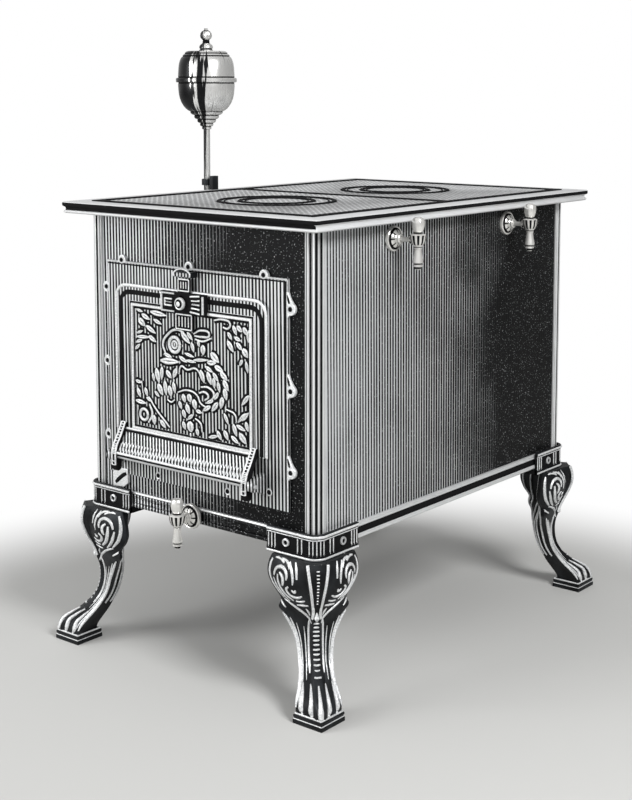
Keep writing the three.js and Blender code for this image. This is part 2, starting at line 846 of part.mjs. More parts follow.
// The raised moulding round the relief panel, sloped on both sides
function leafMould() {
  const halfX = mouldWidth / 2;
  const halfZ = (mouldTop - mouldBottom) / 2;
  const slope = mouldBead * 0.3;
  const outer = skinned([
    rectangleRing(halfX, halfZ, -doorWall / 2),
    rectangleRing(halfX, halfZ, 0),
    rectangleRing(halfX - slope, halfZ - slope, mouldProud),
  ], facingCap);
  const inner = skinned([
    rectangleRing(halfX - mouldBead, halfZ - mouldBead, -doorWall),
    rectangleRing(halfX - mouldBead, halfZ - mouldBead, 0),
    rectangleRing(halfX - mouldBead + slope, halfZ - mouldBead + slope, mouldProud),
    rectangleRing(halfX - mouldBead + slope, halfZ - mouldBead + slope, mouldProud + overrun),
  ], facingCap);
  return cut(outer, inner).translate(doorShift, leafFront, (mouldTop + mouldBottom) / 2);
}

// A curved band that leaves the leaf, passes the rod and ends in the tail that stops the open door
function cheekShape() {
  const back = leafFront - pivotY;
  const tail = pivotOut - seatGap - cheekHalf;
  const rise = doorFoot - pivotHeight;
  const shape = new THREE.Shape();
  shape.moveTo(back + doorWall / 2, rise + cheekHalf * 2);
  shape.lineTo(back - cheekHalf * 0.5, rise + cheekHalf * 2);
  shape.quadraticCurveTo(back * 0.45, rise * 0.95, -cheekHalf * 0.35, rise * 0.5);
  shape.quadraticCurveTo(-cheekHalf, rise * 0.25, -cheekHalf, 0);
  shape.lineTo(-cheekHalf, -tail);
  shape.absarc(0, -tail, cheekHalf, Math.PI, 0, false);
  shape.lineTo(cheekHalf, 0);
  shape.quadraticCurveTo(cheekHalf * 1.1, rise * 0.35, back * 0.75, rise * 0.75);
  shape.quadraticCurveTo(back, rise * 0.95, back + doorWall / 2, rise);
  return shape;
}

function doorCheek(sign) {
  const middle = doorShift + sign * cheekSpan / 2;
  const cheek = prismX(cheekShape(), middle - cheekThickness / 2, middle + cheekThickness / 2, 6);
  return closed(cheek).translate(0, pivotY, pivotHeight);
}

function doorApron() {
  const back = leafBack - pivotY;
  const rise = doorFoot - pivotHeight;
  const lip = rodRadius + runGap;
  const shape = new THREE.Shape();
  shape.moveTo(back, rise + apronWall * 2);
  shape.lineTo(back - doorWall, rise + apronWall * 2);
  shape.quadraticCurveTo(back * 0.35, rise * 0.65, -rodRadius, lip + apronWall / 2);
  shape.lineTo(-rodRadius, lip);
  shape.lineTo(0, lip);
  shape.quadraticCurveTo(back * 0.55, rise * 0.5, back, rise - apronWall / 2);
  const half = cheekSpan / 2;
  return closed(prismX(shape, doorShift - half, doorShift + half, 6)).translate(0, pivotY, pivotHeight);
}

function doorLeaf() {
  const plate = prismFront(leafShape(0), leafBack, doorWall, doorRoundSteps);
  const rim = cut(
    prismFront(leafShape(0), leafBack - doorWall / 2, doorWall / 2 + doorEdgeProud, doorRoundSteps),
    prismFront(leafShape(doorEdgeBead), leafBack, doorWall + doorEdgeProud + overrun, doorRoundSteps),
  );
  const whole = joined(plate, rim, leafMould(), doorApron(), doorCheek(-1), doorCheek(1));
  return cut(whole, rodBore(rodRadius + runGap));
}

// The latch bolt slides in front of the moulding, behind the guide
const strapBack = leafFront - mouldProud - seatGap;
const strapFront = strapBack - boltStrap;
const guideBack = strapFront - runGap;
const guideFace = guideBack - guideWall;

function latchGuide() {
  const half = boltWide / 2 + runGap;
  const low = latchHeight - guideHeight / 2;
  const high = latchHeight + guideHeight / 2;
  const wide = guideWidth / 2;
  const bridge = box(doorShift - wide, doorShift + wide, guideFace, leafFront - seatGap, low, high);
  const channel = box(doorShift - half, doorShift + half, guideBack, leafFront + overrun,
    low - overrun, high + overrun);
  const rimLow = doorTop - doorEdgeBead - seatGap;
  const overRim = box(doorShift - wide - overrun, doorShift + wide + overrun,
    leafFront - doorEdgeProud - seatGap, leafFront + overrun, rimLow, high + overrun);
  const slotHalf = latchStem + runGap;
  const slot = box(doorShift - slotHalf, doorShift + slotHalf, guideFace - overrun, guideBack + overrun,
    latchHeight - slotHalf, latchHeight + slotHalf + latchTravel);
  const ribs = [];
  for (const sign of [-1, 1]) {
    for (let i = 0; i < ribCount; i += 1) {
      const z = latchHeight + (i - (ribCount - 1) / 2) * guideHeight / (ribCount + 1);
      const start = doorShift + sign * (latchKnobRadius + ribSize);
      const end = start + sign * ribLength;
      ribs.push(box(Math.min(start, end), Math.max(start, end), guideFace - ribSize / 2,
        guideFace + guideWall / 2, z - ribSize / 2, z + ribSize / 2));
    }
  }
  return cut(joined(bridge, ...ribs), channel, overRim, slot);
}

function latchBolt() {
  const step = latchHeight + boltStep;
  const shape = shapeOf([
    [-boltWide / 2, boltFoot], [boltWide / 2, boltFoot], [boltWide / 2, step],
    [boltNarrow / 2, step + boltStep / 2], [boltNarrow / 2, boltTop], [-boltNarrow / 2, boltTop],
    [-boltNarrow / 2, step + boltStep / 2], [-boltWide / 2, step],
  ]);
  return closed(prismFront(shape, strapBack, boltStrap)).translate(doorShift, 0, 0);
}

function latchKnob() {
  const stem = -strapFront + seatGap;
  const base = -guideFace + ribSize / 2 + seatGap;
  const knob = turned([
    [0, stem], [latchStem, stem], [latchStem, base], [latchKnobRadius, base],
    [latchKnobRadius, base + latchKnobDepth * 0.35], [latchKnobRadius * 0.85, base + latchKnobDepth * 0.7],
    [latchKnobRadius * 0.5, base + latchKnobDepth * 0.95], [0, base + latchKnobDepth],
  ], medium - 2);
  return alongFront(knob).translate(doorShift, 0, latchHeight);
}

// A staple on the frame, just above the tip of the dropped bolt
function latchKeeper() {
  const low = boltTop + keeperGap;
  const high = low + keeperHeight;
  const inner = boltNarrow / 2 + runGap * 2;
  const outer = inner + keeperPost;
  const block = box(-outer, outer, strapFront - runGap - keeperWall, frameFront - seatGap, low, high);
  const way = box(-inner, inner, strapFront - runGap, frameFront + overrun, low - overrun, high + overrun);
  return cut(block, way).translate(doorShift, 0, 0);
}

// Oven

const ovenFace = -(halfDepth - panelInside) + seatGap;

function ovenBox() {
  const wide = mouthWidth / 2 + sheet;
  const back = ovenFace + ovenDepth;
  const shell = box(doorShift - wide, doorShift + wide, ovenFace, back,
    mouthBottom - sheet, mouthTop + sheet);
  const lip = wide + ovenFlange;
  const flange = box(doorShift - lip, doorShift + lip, ovenFace, ovenFace + sheet,
    mouthBottom - sheet - ovenFlange, mouthTop + sheet + ovenFlange / 2);
  const inside = mouthCutter(0, back - sheet, ovenDepth + overrun);
  const runnerTop = shelfLevel - shelfWall - seatGap;
  const runners = [-1, 1].map((sign) => {
    const wall = doorShift + sign * (mouthWidth / 2 + sheet / 2);
    const edge = doorShift + sign * (mouthWidth / 2 - ovenRunner);
    return box(Math.min(wall, edge), Math.max(wall, edge), ovenFace + ovenFlange, back - sheet / 2,
      runnerTop - sheet, runnerTop);
  });
  return joined(cut(joined(shell, flange), inside), ...runners);
}

function ovenShelf() {
  const wide = mouthWidth / 2 - runGap * 2;
  const front = ovenFace + ovenFlange;
  const back = ovenFace + ovenDepth - sheet - runGap * 2;
  const plate = box(doorShift - wide, doorShift + wide, front, back, shelfLevel - shelfWall, shelfLevel);
  const pitch = (2 * wide - 2 * shelfBorder) / shelfSlots;
  const slots = Array.from({ length: shelfSlots }, (_, i) => {
    const x = doorShift + (i - (shelfSlots - 1) / 2) * pitch;
    return box(x - shelfSlotWidth / 2, x + shelfSlotWidth / 2, front + shelfBorder, back - shelfBorder,
      shelfLevel - shelfWall - overrun, shelfLevel + overrun);
  });
  return cut(plate, ...slots);
}

// Burners: a closed head with a flame slit on a column, with a valve boss toward the tap and a feed boss
// toward the left

const hobBurner = {
  foot: trayLevel + sheet + seatGap,
  column: burnerColumn,
  low: hobTapHeight - burnerBoss - burnerWall,
  radius: burnerRadius,
  axis: hobTapHeight,
  reach: burnerRadius + burnerBossOut,
};
const ovenBurner = {
  foot: bodyBottom + sheet + seatGap,
  column: ovenBurnerColumn,
  low: ovenBurnerLevel,
  radius: ovenBurnerRadius,
  axis: ovenTapHeight,
  reach: ovenBurnerColumn + burnerBossOut,
};
const socketDepth = burnerBossOut - burnerWall;

function burner(sizes, front) {
  const { foot, column, low, radius, axis, reach } = sizes;
  const top = low + burnerDepth;
  const body = turned([
    [0, foot], [burnerFoot, foot], [burnerFoot, foot + burnerFootWall], [column, foot + burnerFootWall],
    [column, low], [radius - burnerWall * 2, low], [radius, low + burnerWall * 2],
    [radius, top - burnerWall * 3], [radius - burnerWall, top - burnerWall * 2],
    [radius, top - burnerWall], [radius - burnerWall, top], [burnerCore, top],
    [burnerCore - burnerWall, top + burnerWall], [0, top + burnerWall],
  ], medium - 2);
  const start = Math.min(radius, reach) - burnerBossOut * 0.8;
  const valve = alongX(cylinder(burnerBoss, start, reach, small));
  const valveBore = alongX(cylinder(spindleRadius + runGap, reach - socketDepth, reach + overrun, small));
  const feed = alongX(cylinder(burnerBoss, -reach, -start, small));
  const feedBore = alongX(cylinder(pipeRadius + runGap, -reach - overrun, -reach + socketDepth, small));
  const turn = front ? -Math.PI / 2 : 0;
  return cut(
    joined(body, valve.rotateZ(turn).translate(0, 0, axis), feed.translate(0, 0, axis)),
    valveBore.rotateZ(turn).translate(0, 0, axis),
    feedBore.translate(0, 0, axis),
  );
}

// Spirit supply

function manifoldPipe() {
  const end = -hobBurner.reach + socketDepth - seatGap;
  const height = hobTapHeight;
  const main = pipe([
    [end, -ringPlace, height], [manifoldX, -ringPlace, height],
    [manifoldX, ringPlace, height], [end, ringPlace, height],
  ], pipeRadius, pipeBend);
  const reach = pipeRadius + burnerBossOut;
  const inlet = alongX(cylinder(burnerBoss, -reach, 0, small)).translate(manifoldX, riserPlace, height);
  const inletBore = alongX(cylinder(pipeRadius + runGap, -reach - overrun, -reach + socketDepth, small))
    .translate(manifoldX, riserPlace, height);
  const drop = cylinder(burnerBoss, -reach, 0, small).translate(manifoldX, dropPlace, height);
  const dropBore = cylinder(pipeRadius + runGap, -reach - overrun, -reach + socketDepth, small)
    .translate(manifoldX, dropPlace, height);
  return cut(joined(main, inlet, drop), inletBore, dropBore);
}

function feedPipe() {
  const end = manifoldX - pipeRadius - burnerBossOut + socketDepth - seatGap;
  return pipe([
    [riserX, riserPlace, bowlFoot + bowlSocket],
    [riserX, riserPlace, hobTapHeight],
    [end, riserPlace, hobTapHeight],
  ], pipeRadius, pipeBend);
}

function ovenFeedPipe() {
  const start = hobTapHeight - pipeRadius - burnerBossOut + socketDepth - seatGap;
  const end = ovenTapShift - ovenBurner.reach + socketDepth - seatGap;
  return pipe([
    [manifoldX, dropPlace, start],
    [manifoldX, dropPlace, ovenTapHeight],
    [end, dropPlace, ovenTapHeight],
  ], pipeRadius, pipeBend);
}

// A post on the edge of the hob with an eye that holds the riser
function pipeClamp() {
  const edge = -(halfWidth + hobOverhangSide) + hobNose;
  const low = hobTop + seatGap;
  const block = box(edge, edge + clampHold, -clampWidth / 2, clampWidth / 2, low, low + clampHeight);
  const eyeLow = low + clampHeight * 0.3;
  const eyeHigh = low + clampHeight * 0.75;
  const eye = cylinder(clampEye, eyeLow, eyeHigh, medium - 2).translate(riserX, 0, 0);
  const web = box(riserX, edge + clampHold / 2, -clampWidth / 4, clampWidth / 4, eyeLow, eyeHigh);
  const bore = cylinder(pipeRadius + seatGap, low - overrun, low + clampHeight + overrun, medium - 2);
  return cut(joined(block, eye, web), bore.translate(riserX, 0, 0)).translate(0, riserPlace, 0);
}

// Reservoir

const bowlStepShares = [
  [0.16, 0], [0.16, 0.06], [0.23, 0.07], [0.23, 0.14], [0.31, 0.15], [0.31, 0.22],
  [0.39, 0.23], [0.39, 0.30], [0.47, 0.31], [0.47, 0.37],
];

function bowlCurve(inset, steps) {
  const tall = equator - bowlFoot;
  const points = [];
  for (let i = 0; i <= steps; i += 1) {
    const angle = i / steps * Math.PI / 2;
    points.push([
      bowlRadius * (0.44 + 0.56 * Math.sin(angle)) - inset,
      bowlFoot + tall * (0.38 + 0.5 * (1 - Math.cos(angle))) + inset * Math.cos(angle),
    ]);
  }
  return points;
}

function reservoirBowl() {
  const tall = equator - bowlFoot;
  const bore = pipeRadius + seatGap;
  const top = equator - seatGap;
  return turnedRing([
    [bore, bowlFoot],
    ...bowlStepShares.map(([radius, height]) => [bowlRadius * radius, bowlFoot + tall * height]),
    ...bowlCurve(0, 6),
    [bowlRadius, top],
    [bowlRadius - vesselWall, top],
    ...bowlCurve(vesselWall, 3).reverse(),
    [bore, bowlFoot + tall * 0.38 + vesselWall],
  ], medium);
}

const shoulderShare = 0.62;
const domeFullness = 0.6;
const domeRingShares = [[0.64, 0.70], [0.675, 0.74], [0.675, 0.83], [0.62, 0.88], [0.58, 0.97], [0.52, 1]];

function domeCurve(inset, steps) {
  const tall = domeTop - equator;
  const points = [];
  for (let i = 0; i <= steps; i += 1) {
    const angle = i / steps * Math.PI / 2;
    const across = Math.max(0, Math.cos(angle)) ** domeFullness;
    const up = Math.sin(angle) ** domeFullness;
    points.push([
      bowlRadius * (shoulderShare + (1 - shoulderShare) * across) - inset,
      equator + bandHeight / 2 + (tall * 0.68 - bandHeight / 2) * up - inset * Math.sin(angle),
    ]);
  }
  return points;
}

function reservoirDome() {
  const tall = domeTop - equator;
  const neckTop = domeTop + bandHeight * 0.6;
  const lap = bowlRadius + seatGap;
  return turnedRing([
    [lap, equator - bandHeight / 2], [bandRadius - bandLip, equator - bandHeight / 2],
    [bandRadius, equator - bandHeight / 4], [bandRadius, equator + bandHeight / 4],
    [bandRadius - bandLip, equator + bandHeight / 2],
    ...domeCurve(0, 4),
    ...domeRingShares.map(([radius, height]) => [bowlRadius * radius, equator + tall * height]),
    [neckRadius + vesselWall, domeTop], [neckRadius + vesselWall, neckTop], [neckRadius, neckTop],
    [neckRadius, domeTop - vesselWall], [bowlRadius * 0.52 - vesselWall, domeTop - vesselWall],
    ...domeCurve(vesselWall, 2).reverse(),
    [bowlRadius - vesselWall, equator],
    [lap, equator],
  ], medium);
}

function fillerCap() {
  const seat = domeTop + bandHeight * 0.6 + seatGap;
  const tall = capTop - seat;
  const shares = [[1, 0.1], [0.62, 0.16], [0.46, 0.26], [0.46, 0.38], [0.66, 0.46], [0.84, 0.56],
    [0.84, 0.68], [0.6, 0.8], [0.3, 0.86], [0.3, 0.94], [0, 1]];
  return turned([
    [0, domeTop - vesselWall * 2], [neckRadius - runGap, domeTop - vesselWall * 2],
    [neckRadius - runGap, seat], [capFlange, seat],
    ...shares.map(([radius, height]) => [capFlange * radius, seat + tall * height]),
  ], medium - 2);
}

// Taps: rosette, spindle and lever handle. Each is drawn with its spindle along +X and turned for the front.

function placedTap(geometry, tap) {
  return geometry.rotateZ(tap.front ? -Math.PI / 2 : 0).translate(tap.x, tap.y, tap.z);
}

function tapRosette(base) {
  const sides = rosettePetals * 3;
  const rosette = turnedRing([
    [spindleRadius + runGap, 0], [rosetteRadius, 0], [rosetteRadius * 0.94, rosetteDepth * 0.25],
    [rosetteRadius * 0.65, rosetteDepth * 0.56], [rosetteCollar, rosetteDepth * 0.66],
    [rosetteCollar, rosetteDepth],
    [spindleRadius + runGap, rosetteDepth],
  ], sides);
  const place = rosette.attributes.position;
  for (let i = 0; i < place.count; i += 1) {
    const radius = Math.hypot(place.getX(i), place.getY(i));
    if (radius < rosetteCollar * 1.1) continue;
    const angle = Math.atan2(place.getY(i), place.getX(i));
    const share = 1 - petalShare * (1 - Math.cos(angle * rosettePetals));
    place.setXY(i, place.getX(i) * share, place.getY(i) * share);
  }
  return alongX(rosette).translate(base, 0, 0);
}

function tapSpindle(start, end) {
  return alongX(turned([
    [0, start], [spindleRadius * 0.3, start], [spindleRadius, start + needleLength],
    [spindleRadius, end], [0, end],
  ], small));
}

const tailShares = [[0, 1], [0.4, 0.98], [0.5, 0.9], [0.42, 0.82], [0.25, 0.74], [0.28, 0.45],
  [0.42, 0.26], [0.75, 0.2]];
const lobeShares = [[1, 0.1], [0.75, 0.24], [0.4, 0.34], [0.55, 0.48], [0.82, 0.64],
  [0.76, 0.8], [0.4, 0.94], [0, 1]];

function tapHandle() {
  const lever = turned([
    ...tailShares.map(([radius, height]) => [handleHub * radius, -handleDown * height]),
    [handleHub, -handleDown * 0.09],
    ...lobeShares.map(([radius, height]) => [handleHub * radius, handleUp * height]),
  ], small - 2);
  const socket = alongX(cylinder(socketRadius, -socketLength, 0, small));
  const bore = alongX(cylinder(spindleRadius + seatGap, -socketLength - overrun, -spindleRadius, small));
  return cut(joined(lever, socket), bore);
}

const taps = [
  { name: 'front', x: halfWidth, y: -ringPlace, z: hobTapHeight, front: false, base: -panelRecess + seatGap },
  { name: 'rear', x: halfWidth, y: ringPlace, z: hobTapHeight, front: false, base: -panelRecess + seatGap },
  { name: 'oven', x: ovenTapShift, y: -halfDepth, z: ovenTapHeight, front: true, base: railBead + seatGap },
];
const hobSpindleStart = hobBurner.reach - socketDepth + seatGap - halfWidth;
const ovenSpindleStart = ovenBurner.reach - socketDepth + seatGap - ovenBurnerBack;

// Assembly

const bores = boltBores();
const endBores = (sign) => bores.filter((_, i) => boltAxes()[i].side === 'y' && boltAxes()[i].out === sign);
const sideBores = (sign) => bores.filter((_, i) => boltAxes()[i].side === 'x' && boltAxes()[i].out === sign);
const spindleWay = spindleRadius + runGap * 2;
const ovenTapBore = spindleBore(spindleWay, true, ovenTapShift, ovenTapHeight, overrun * 4);
const hobTapBores = [-ringPlace, ringPlace]
  .map((y) => spindleBore(spindleWay, false, y, hobTapHeight, overrun * 4));
const riserBore = alongX(cylinder(pipeRadius + runGap * 2, -overrun * 4, overrun * 2, small))
  .rotateZ(Math.PI).translate(-halfWidth, riserPlace, hobTapHeight);
const mouth = mouthCutter(0, -halfDepth + overrun * 3, overrun * 5);
const rearVents = ventCutters((x) => box(x - ventWidth / 2, x + ventWidth / 2, halfDepth - overrun * 2,
  halfDepth + overrun, bodyTop - ventDrop - ventLength / 2, bodyTop - ventDrop));

add('front_panel', cut(endPanel(-1), mouth, ovenTapBore), 'sheetIron');
add('rear_panel', cut(endPanel(1), ...rearVents), 'sheetIron');
add('left_panel', cut(sidePanel(-1), riserBore), 'sheetIron');
add('right_panel', cut(sidePanel(1), ...hobTapBores), 'sheetIron');

const endLength = bodyWidth - 2 * (postReach + seatGap);
const sideLength = bodyDepth - 2 * (postReach + seatGap);
add('base_rail_front', cut(baseRail(endLength, halfDepth, 0), ovenTapBore, ...endBores(-1)), 'moulding');
add('base_rail_right', cut(baseRail(sideLength, halfWidth, Math.PI / 2), ...sideBores(1)), 'moulding');
add('base_rail_rear', cut(baseRail(endLength, halfDepth, Math.PI), ...endBores(1)), 'moulding');
add('base_rail_left', cut(baseRail(sideLength, halfWidth, -Math.PI / 2), ...sideBores(-1)), 'moulding');

for (const { name, x, y, turn } of corners) {
  add(`corner_post_${name}`, cornerPost().rotateZ(turn).translate(x, y, 0), 'moulding');
  const placedLeg = leg().rotateZ(turn).translate(x, y, 0);
  const near = bores.filter((_, i) => boltAxes()[i].name.includes(name));
  add(`leg_${name}`, cut(placedLeg, ...near), 'castIron');
}
for (const axis of boltAxes()) add(axis.name, placedOnAxis(legBolt(), axis), 'nickel');

add('base_pan', basePan(), 'sheetIron');
add('burner_tray', burnerTray(), 'sheetIron');
add('hob_plate', hobPlateWithPlaces(), 'castIron');
for (const [name, sign] of [['front', -1], ['rear', 1]]) {
  add(`hob_ring_${name}`, hobRing().translate(0, sign * ringPlace, 0), 'castIron');
  add(`ring_lid_${name}`, ringLid().translate(0, sign * ringPlace, 0), 'castIron');
  add(`burner_${name}`, burner(hobBurner, false).translate(0, sign * ringPlace, 0), 'brass');
}

add('door_frame', doorFrame(), 'castIron');
add('hinge_rod', hingeRod(), 'nickel');
add('door_leaf', doorLeaf(), 'castIron');
add('latch_guide', latchGuide(), 'castIron');
add('latch_bolt', latchBolt(), 'nickel');
add('latch_knob', latchKnob(), 'nickel');
add('latch_keeper', latchKeeper(), 'castIron');

add('oven_box', ovenBox(), 'sheetIron');
add('oven_shelf', ovenShelf(), 'sheetIron');
add('burner_oven', burner(ovenBurner, true).translate(ovenTapShift, dropPlace, 0), 'brass');

add('manifold_pipe', manifoldPipe(), 'brass');
add('feed_pipe', feedPipe(), 'nickel');
add('oven_feed_pipe', ovenFeedPipe(), 'brass');
add('pipe_clamp', pipeClamp(), 'nickel');
add('reservoir_bowl', reservoirBowl().translate(riserX, riserPlace, 0), 'nickel');
add('reservoir_dome', reservoirDome().translate(riserX, riserPlace, 0), 'nickel');
add('filler_cap', fillerCap().translate(riserX, riserPlace, 0), 'nickel');

for (const tap of taps) {
  const out = tap.front ? ovenHandleOut : hobHandleOut;
  const start = tap.front ? ovenSpindleStart : hobSpindleStart;
  add(`tap_rosette_${tap.name}`, placedTap(tapRosette(tap.base), tap), 'nickel');
  add(`tap_spindle_${tap.name}`, placedTap(tapSpindle(start, out - spindleRadius - seatGap), tap), 'nickel');
  add(`tap_handle_${tap.name}`, placedTap(tapHandle().translate(out, 0, 0), tap), 'nickel');
}

// The origin goes to the middle of the whole stove's outline, on the floor
const bounds = new THREE.Box3().setFromObject(stove);
const middle = bounds.getCenter(new THREE.Vector3());
stove.position.set(-middle.x, -middle.y, -bounds.min.z);
stove.name = 'spirit_stove';

export default stove;
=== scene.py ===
import math

import bpy
from mathutils import Matrix, Vector
from mathutils.bvhtree import BVHTree


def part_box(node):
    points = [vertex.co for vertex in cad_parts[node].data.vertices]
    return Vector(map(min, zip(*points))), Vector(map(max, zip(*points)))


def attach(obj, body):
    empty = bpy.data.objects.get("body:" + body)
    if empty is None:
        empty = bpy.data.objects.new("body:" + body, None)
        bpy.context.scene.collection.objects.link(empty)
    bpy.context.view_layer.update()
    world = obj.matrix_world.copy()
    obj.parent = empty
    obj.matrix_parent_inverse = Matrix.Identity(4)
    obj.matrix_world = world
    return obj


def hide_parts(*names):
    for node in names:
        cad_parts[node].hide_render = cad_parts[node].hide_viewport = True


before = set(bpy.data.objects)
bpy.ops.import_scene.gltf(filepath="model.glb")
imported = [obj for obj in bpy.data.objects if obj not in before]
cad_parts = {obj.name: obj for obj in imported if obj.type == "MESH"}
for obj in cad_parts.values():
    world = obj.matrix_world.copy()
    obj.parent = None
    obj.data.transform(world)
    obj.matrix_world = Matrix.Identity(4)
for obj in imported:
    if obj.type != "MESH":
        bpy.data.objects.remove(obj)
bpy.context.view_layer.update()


# Legs. Four cast cabriole legs, each a knee with two wings, a thin shin and a clawed foot on a square
# plinth, with an angle shoe at the top that the body stands in. Black-leaded grey iron from a sand mould,
# its scrolls and ribs rubbed bright by the brush and painted pale as a highlight, the shoe's face painted
# black as shade. Sizes are millimetres about the middle of the body.

hob_low, hob_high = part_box("hob_plate")
body_middle = Vector(((hob_low.x + hob_high.x) / 2, (hob_low.y + hob_high.y) / 2, 0))
half_width = 241
half_depth = 358
body_foot = 245
corner_turns = {
    "front_right": (half_width, -half_depth, -90),
    "rear_right": (half_width, half_depth, 0),
    "rear_left": (-half_width, half_depth, 90),
    "front_left": (-half_width, -half_depth, 180),
}


def colour(code):
    """An sRGB hex colour as the linear numbers that nodes take"""
    shares = [int(code[i:i + 2], 16) / 255 for i in (1, 3, 5)]
    return [s / 12.92 if s <= 0.04045 else ((s + 0.055) / 1.055) ** 2.4 for s in shares] + [1]


def node(tree, kind, settings, links):
    """Adds a node: settings name its properties or its sockets, links join other nodes' sockets to it"""
    made = tree.nodes.new("ShaderNode" + kind)
    for key, value in settings.items():
        if isinstance(key, str) and hasattr(made, key):
            setattr(made, key, value)
        else:
            made.inputs[key].default_value = value
    for key, socket in links.items():
        tree.links.new(made.inputs[key], socket)
    return made


def blank(name):
    """A material whose node tree holds nothing but the place on the piece"""
    finish = bpy.data.materials.new(name)
    finish.use_nodes = True
    finish.node_tree.nodes.clear()
    place = node(finish.node_tree, "TexCoord", {}, {})
    return finish, finish.node_tree, place.outputs["Object"]


def noise(tree, place, scale, detail, roughness=0.5):
    """A cloudy or grainy pattern fixed to the piece, its scale in waves to the metre"""
    settings = {"Scale": scale, "Detail": detail, "Roughness": roughness}
    return node(tree, "TexNoise", settings, {"Vector": place}).outputs["Fac"]


def ranged(tree, value, low, high, new_low=0, new_high=1):
    """A value taken from one range to another and held inside it"""
    settings = {"From Min": low, "From Max": high, "To Min": new_low, "To Max": new_high}
    return node(tree, "MapRange", settings, {"Value": value}).outputs[0]


def mixed(tree, share, dark, pale):
    """A colour between two by a share"""
    settings = {"data_type": "RGBA", 6: colour(dark), 7: colour(pale)}
    return node(tree, "Mix", settings, {0: share}).outputs[2]


def worked(tree, operation, *values, kind="Math"):
    """A sum that a node works out: each value is a number, a vector or another node's socket"""
    linked = {i: value for i, value in enumerate(values) if isinstance(value, bpy.types.NodeSocket)}
    given = {i: value for i, value in enumerate(values) if i not in linked}
    made = node(tree, kind, {"operation": operation, **given}, linked)
    return made.outputs["Value" if operation in ("DOT_PRODUCT", "DISTANCE") else 0]


def combed_lines(tree, place, scale):
    """Upright scratched lines that waver a little, in waves to the metre"""
    level = node(tree, "Mapping", {"Scale": (1, 1, 0.01)}, {"Vector": place})
    settings = {"bands_direction": "DIAGONAL", "Scale": scale, "Distortion": 0.5, "Detail": 2,
                "Detail Scale": 3}
    return node(tree, "TexWave", settings, {"Vector": level.outputs[0]}).outputs["Fac"]


def bumped(tree, value, strength, distance, invert=False):
    """Fine relief that only the light sees, from a pattern"""
    settings = {"Strength": strength, "Distance": distance, "invert": invert}
    return node(tree, "Bump", settings, {"Height": value}).outputs[0]


def surfaced(tree, settings, tone, height, gloss=None):
    """The end of a material: its surface from a colour, a fine relief and a roughness"""
    links = {"Base Color": tone, "Normal": height}
    if gloss is not None:
        links["Roughness"] = gloss
    body = node(tree, "BsdfPrincipled", settings, links)
    node(tree, "OutputMaterial", {}, {"Surface": body.outputs[0]})


def eased(rows, steps):
    """Rows of numbers with more rows set between them, on a smooth curve through all of them"""
    fuller = []
    for i in range(len(rows) - 1):
        near = [rows[max(i - 1, 0)], rows[i], rows[i + 1], rows[min(i + 2, len(rows) - 1)]]
        for k in range(steps):
            t = k / steps
            fuller.append([
                0.5 * (2 * q + (r - p) * t + (2 * p - 5 * q + 4 * r - s) * t ** 2
                       + (3 * q - p - 3 * r + s) * t ** 3)
                for p, q, r, s in zip(*near)
            ])
    fuller.append(list(rows[-1]))
    return fuller


def lofted(rings):
    """A skin over rings of points, with a flat face on each end ring"""
    count = len(rings[0])
    faces = [
        [i * count + j, i * count + (j + 1) % count, (i + 1) * count + (j + 1) % count, (i + 1) * count + j]
        for i in range(len(rings) - 1)
        for j in range(count)
    ]
    faces += [list(range(count))[::-1], list(range((len(rings) - 1) * count, len(rings) * count))]
    skin = bpy.data.meshes.new("skin")
    skin.from_pydata([point for ring in rings for point in ring], [], faces)
    piece = bpy.data.objects.new("skin", skin)
    bpy.context.scene.collection.objects.link(piece)
    bpy.ops.object.select_all(action="DESELECT")
    piece.select_set(True)
    bpy.context.view_layer.objects.active = piece
    return smoothed(piece)


def smoothed(piece, degrees=35):
    """Turns all faces outward and shades soft edges smooth"""
    bpy.ops.object.mode_set(mode="EDIT")
    bpy.ops.mesh.select_all(action="SELECT")
    bpy.ops.mesh.normals_make_consistent(inside=False)
    bpy.ops.object.mode_set(mode="OBJECT")
    bpy.ops.object.shade_smooth_by_angle(angle=math.radians(degrees))
    return piece


def loop_of(points, fill):
    """A ring of edges through the points as a new object in edit mode, all of it selected"""
    bpy.ops.object.select_all(action="DESELECT")
    bpy.ops.mesh.primitive_circle_add(vertices=len(points), fill_type=fill)
    piece = bpy.context.object
    for vertex, point in zip(piece.data.vertices, points):
        vertex.co = point
    bpy.ops.object.mode_set(mode="EDIT")
    bpy.ops.mesh.select_all(action="SELECT")
    return piece


def extruded(points, way, edge=0.0):
    """A flat outline drawn out along a straight way, with its hard edges broken"""
    piece = loop_of(points, "NGON")
    bpy.ops.mesh.extrude_region_move(TRANSFORM_OT_translate={"value": way})
    bpy.ops.object.mode_set(mode="OBJECT")
    smoothed(piece)
    if edge:
        bevel = piece.modifiers.new("edge", "BEVEL")
        bevel.width = edge
        bevel.segments = 2
        bevel.angle_limit = math.radians(40)
        bpy.ops.object.modifier_apply(modifier="edge")
        bpy.ops.object.shade_smooth_by_angle(angle=math.radians(35))
    return piece


def joined(*pieces):
    """Several shells kept as one piece"""
    bpy.ops.object.select_all(action="DESELECT")
    for piece in pieces:
        piece.select_set(True)
    bpy.context.view_layer.objects.active = pieces[0]
    if len(pieces) > 1:
        bpy.ops.object.join()
    return pieces[0]


def copied(piece, place):
    """A second piece with its own mesh, moved by a matrix"""
    twin = bpy.data.objects.new(piece.name, piece.data.copy())
    bpy.context.scene.collection.objects.link(twin)
    twin.data.transform(place)
    if place.determinant() < 0:
        twin.data.flip_normals()
    return twin


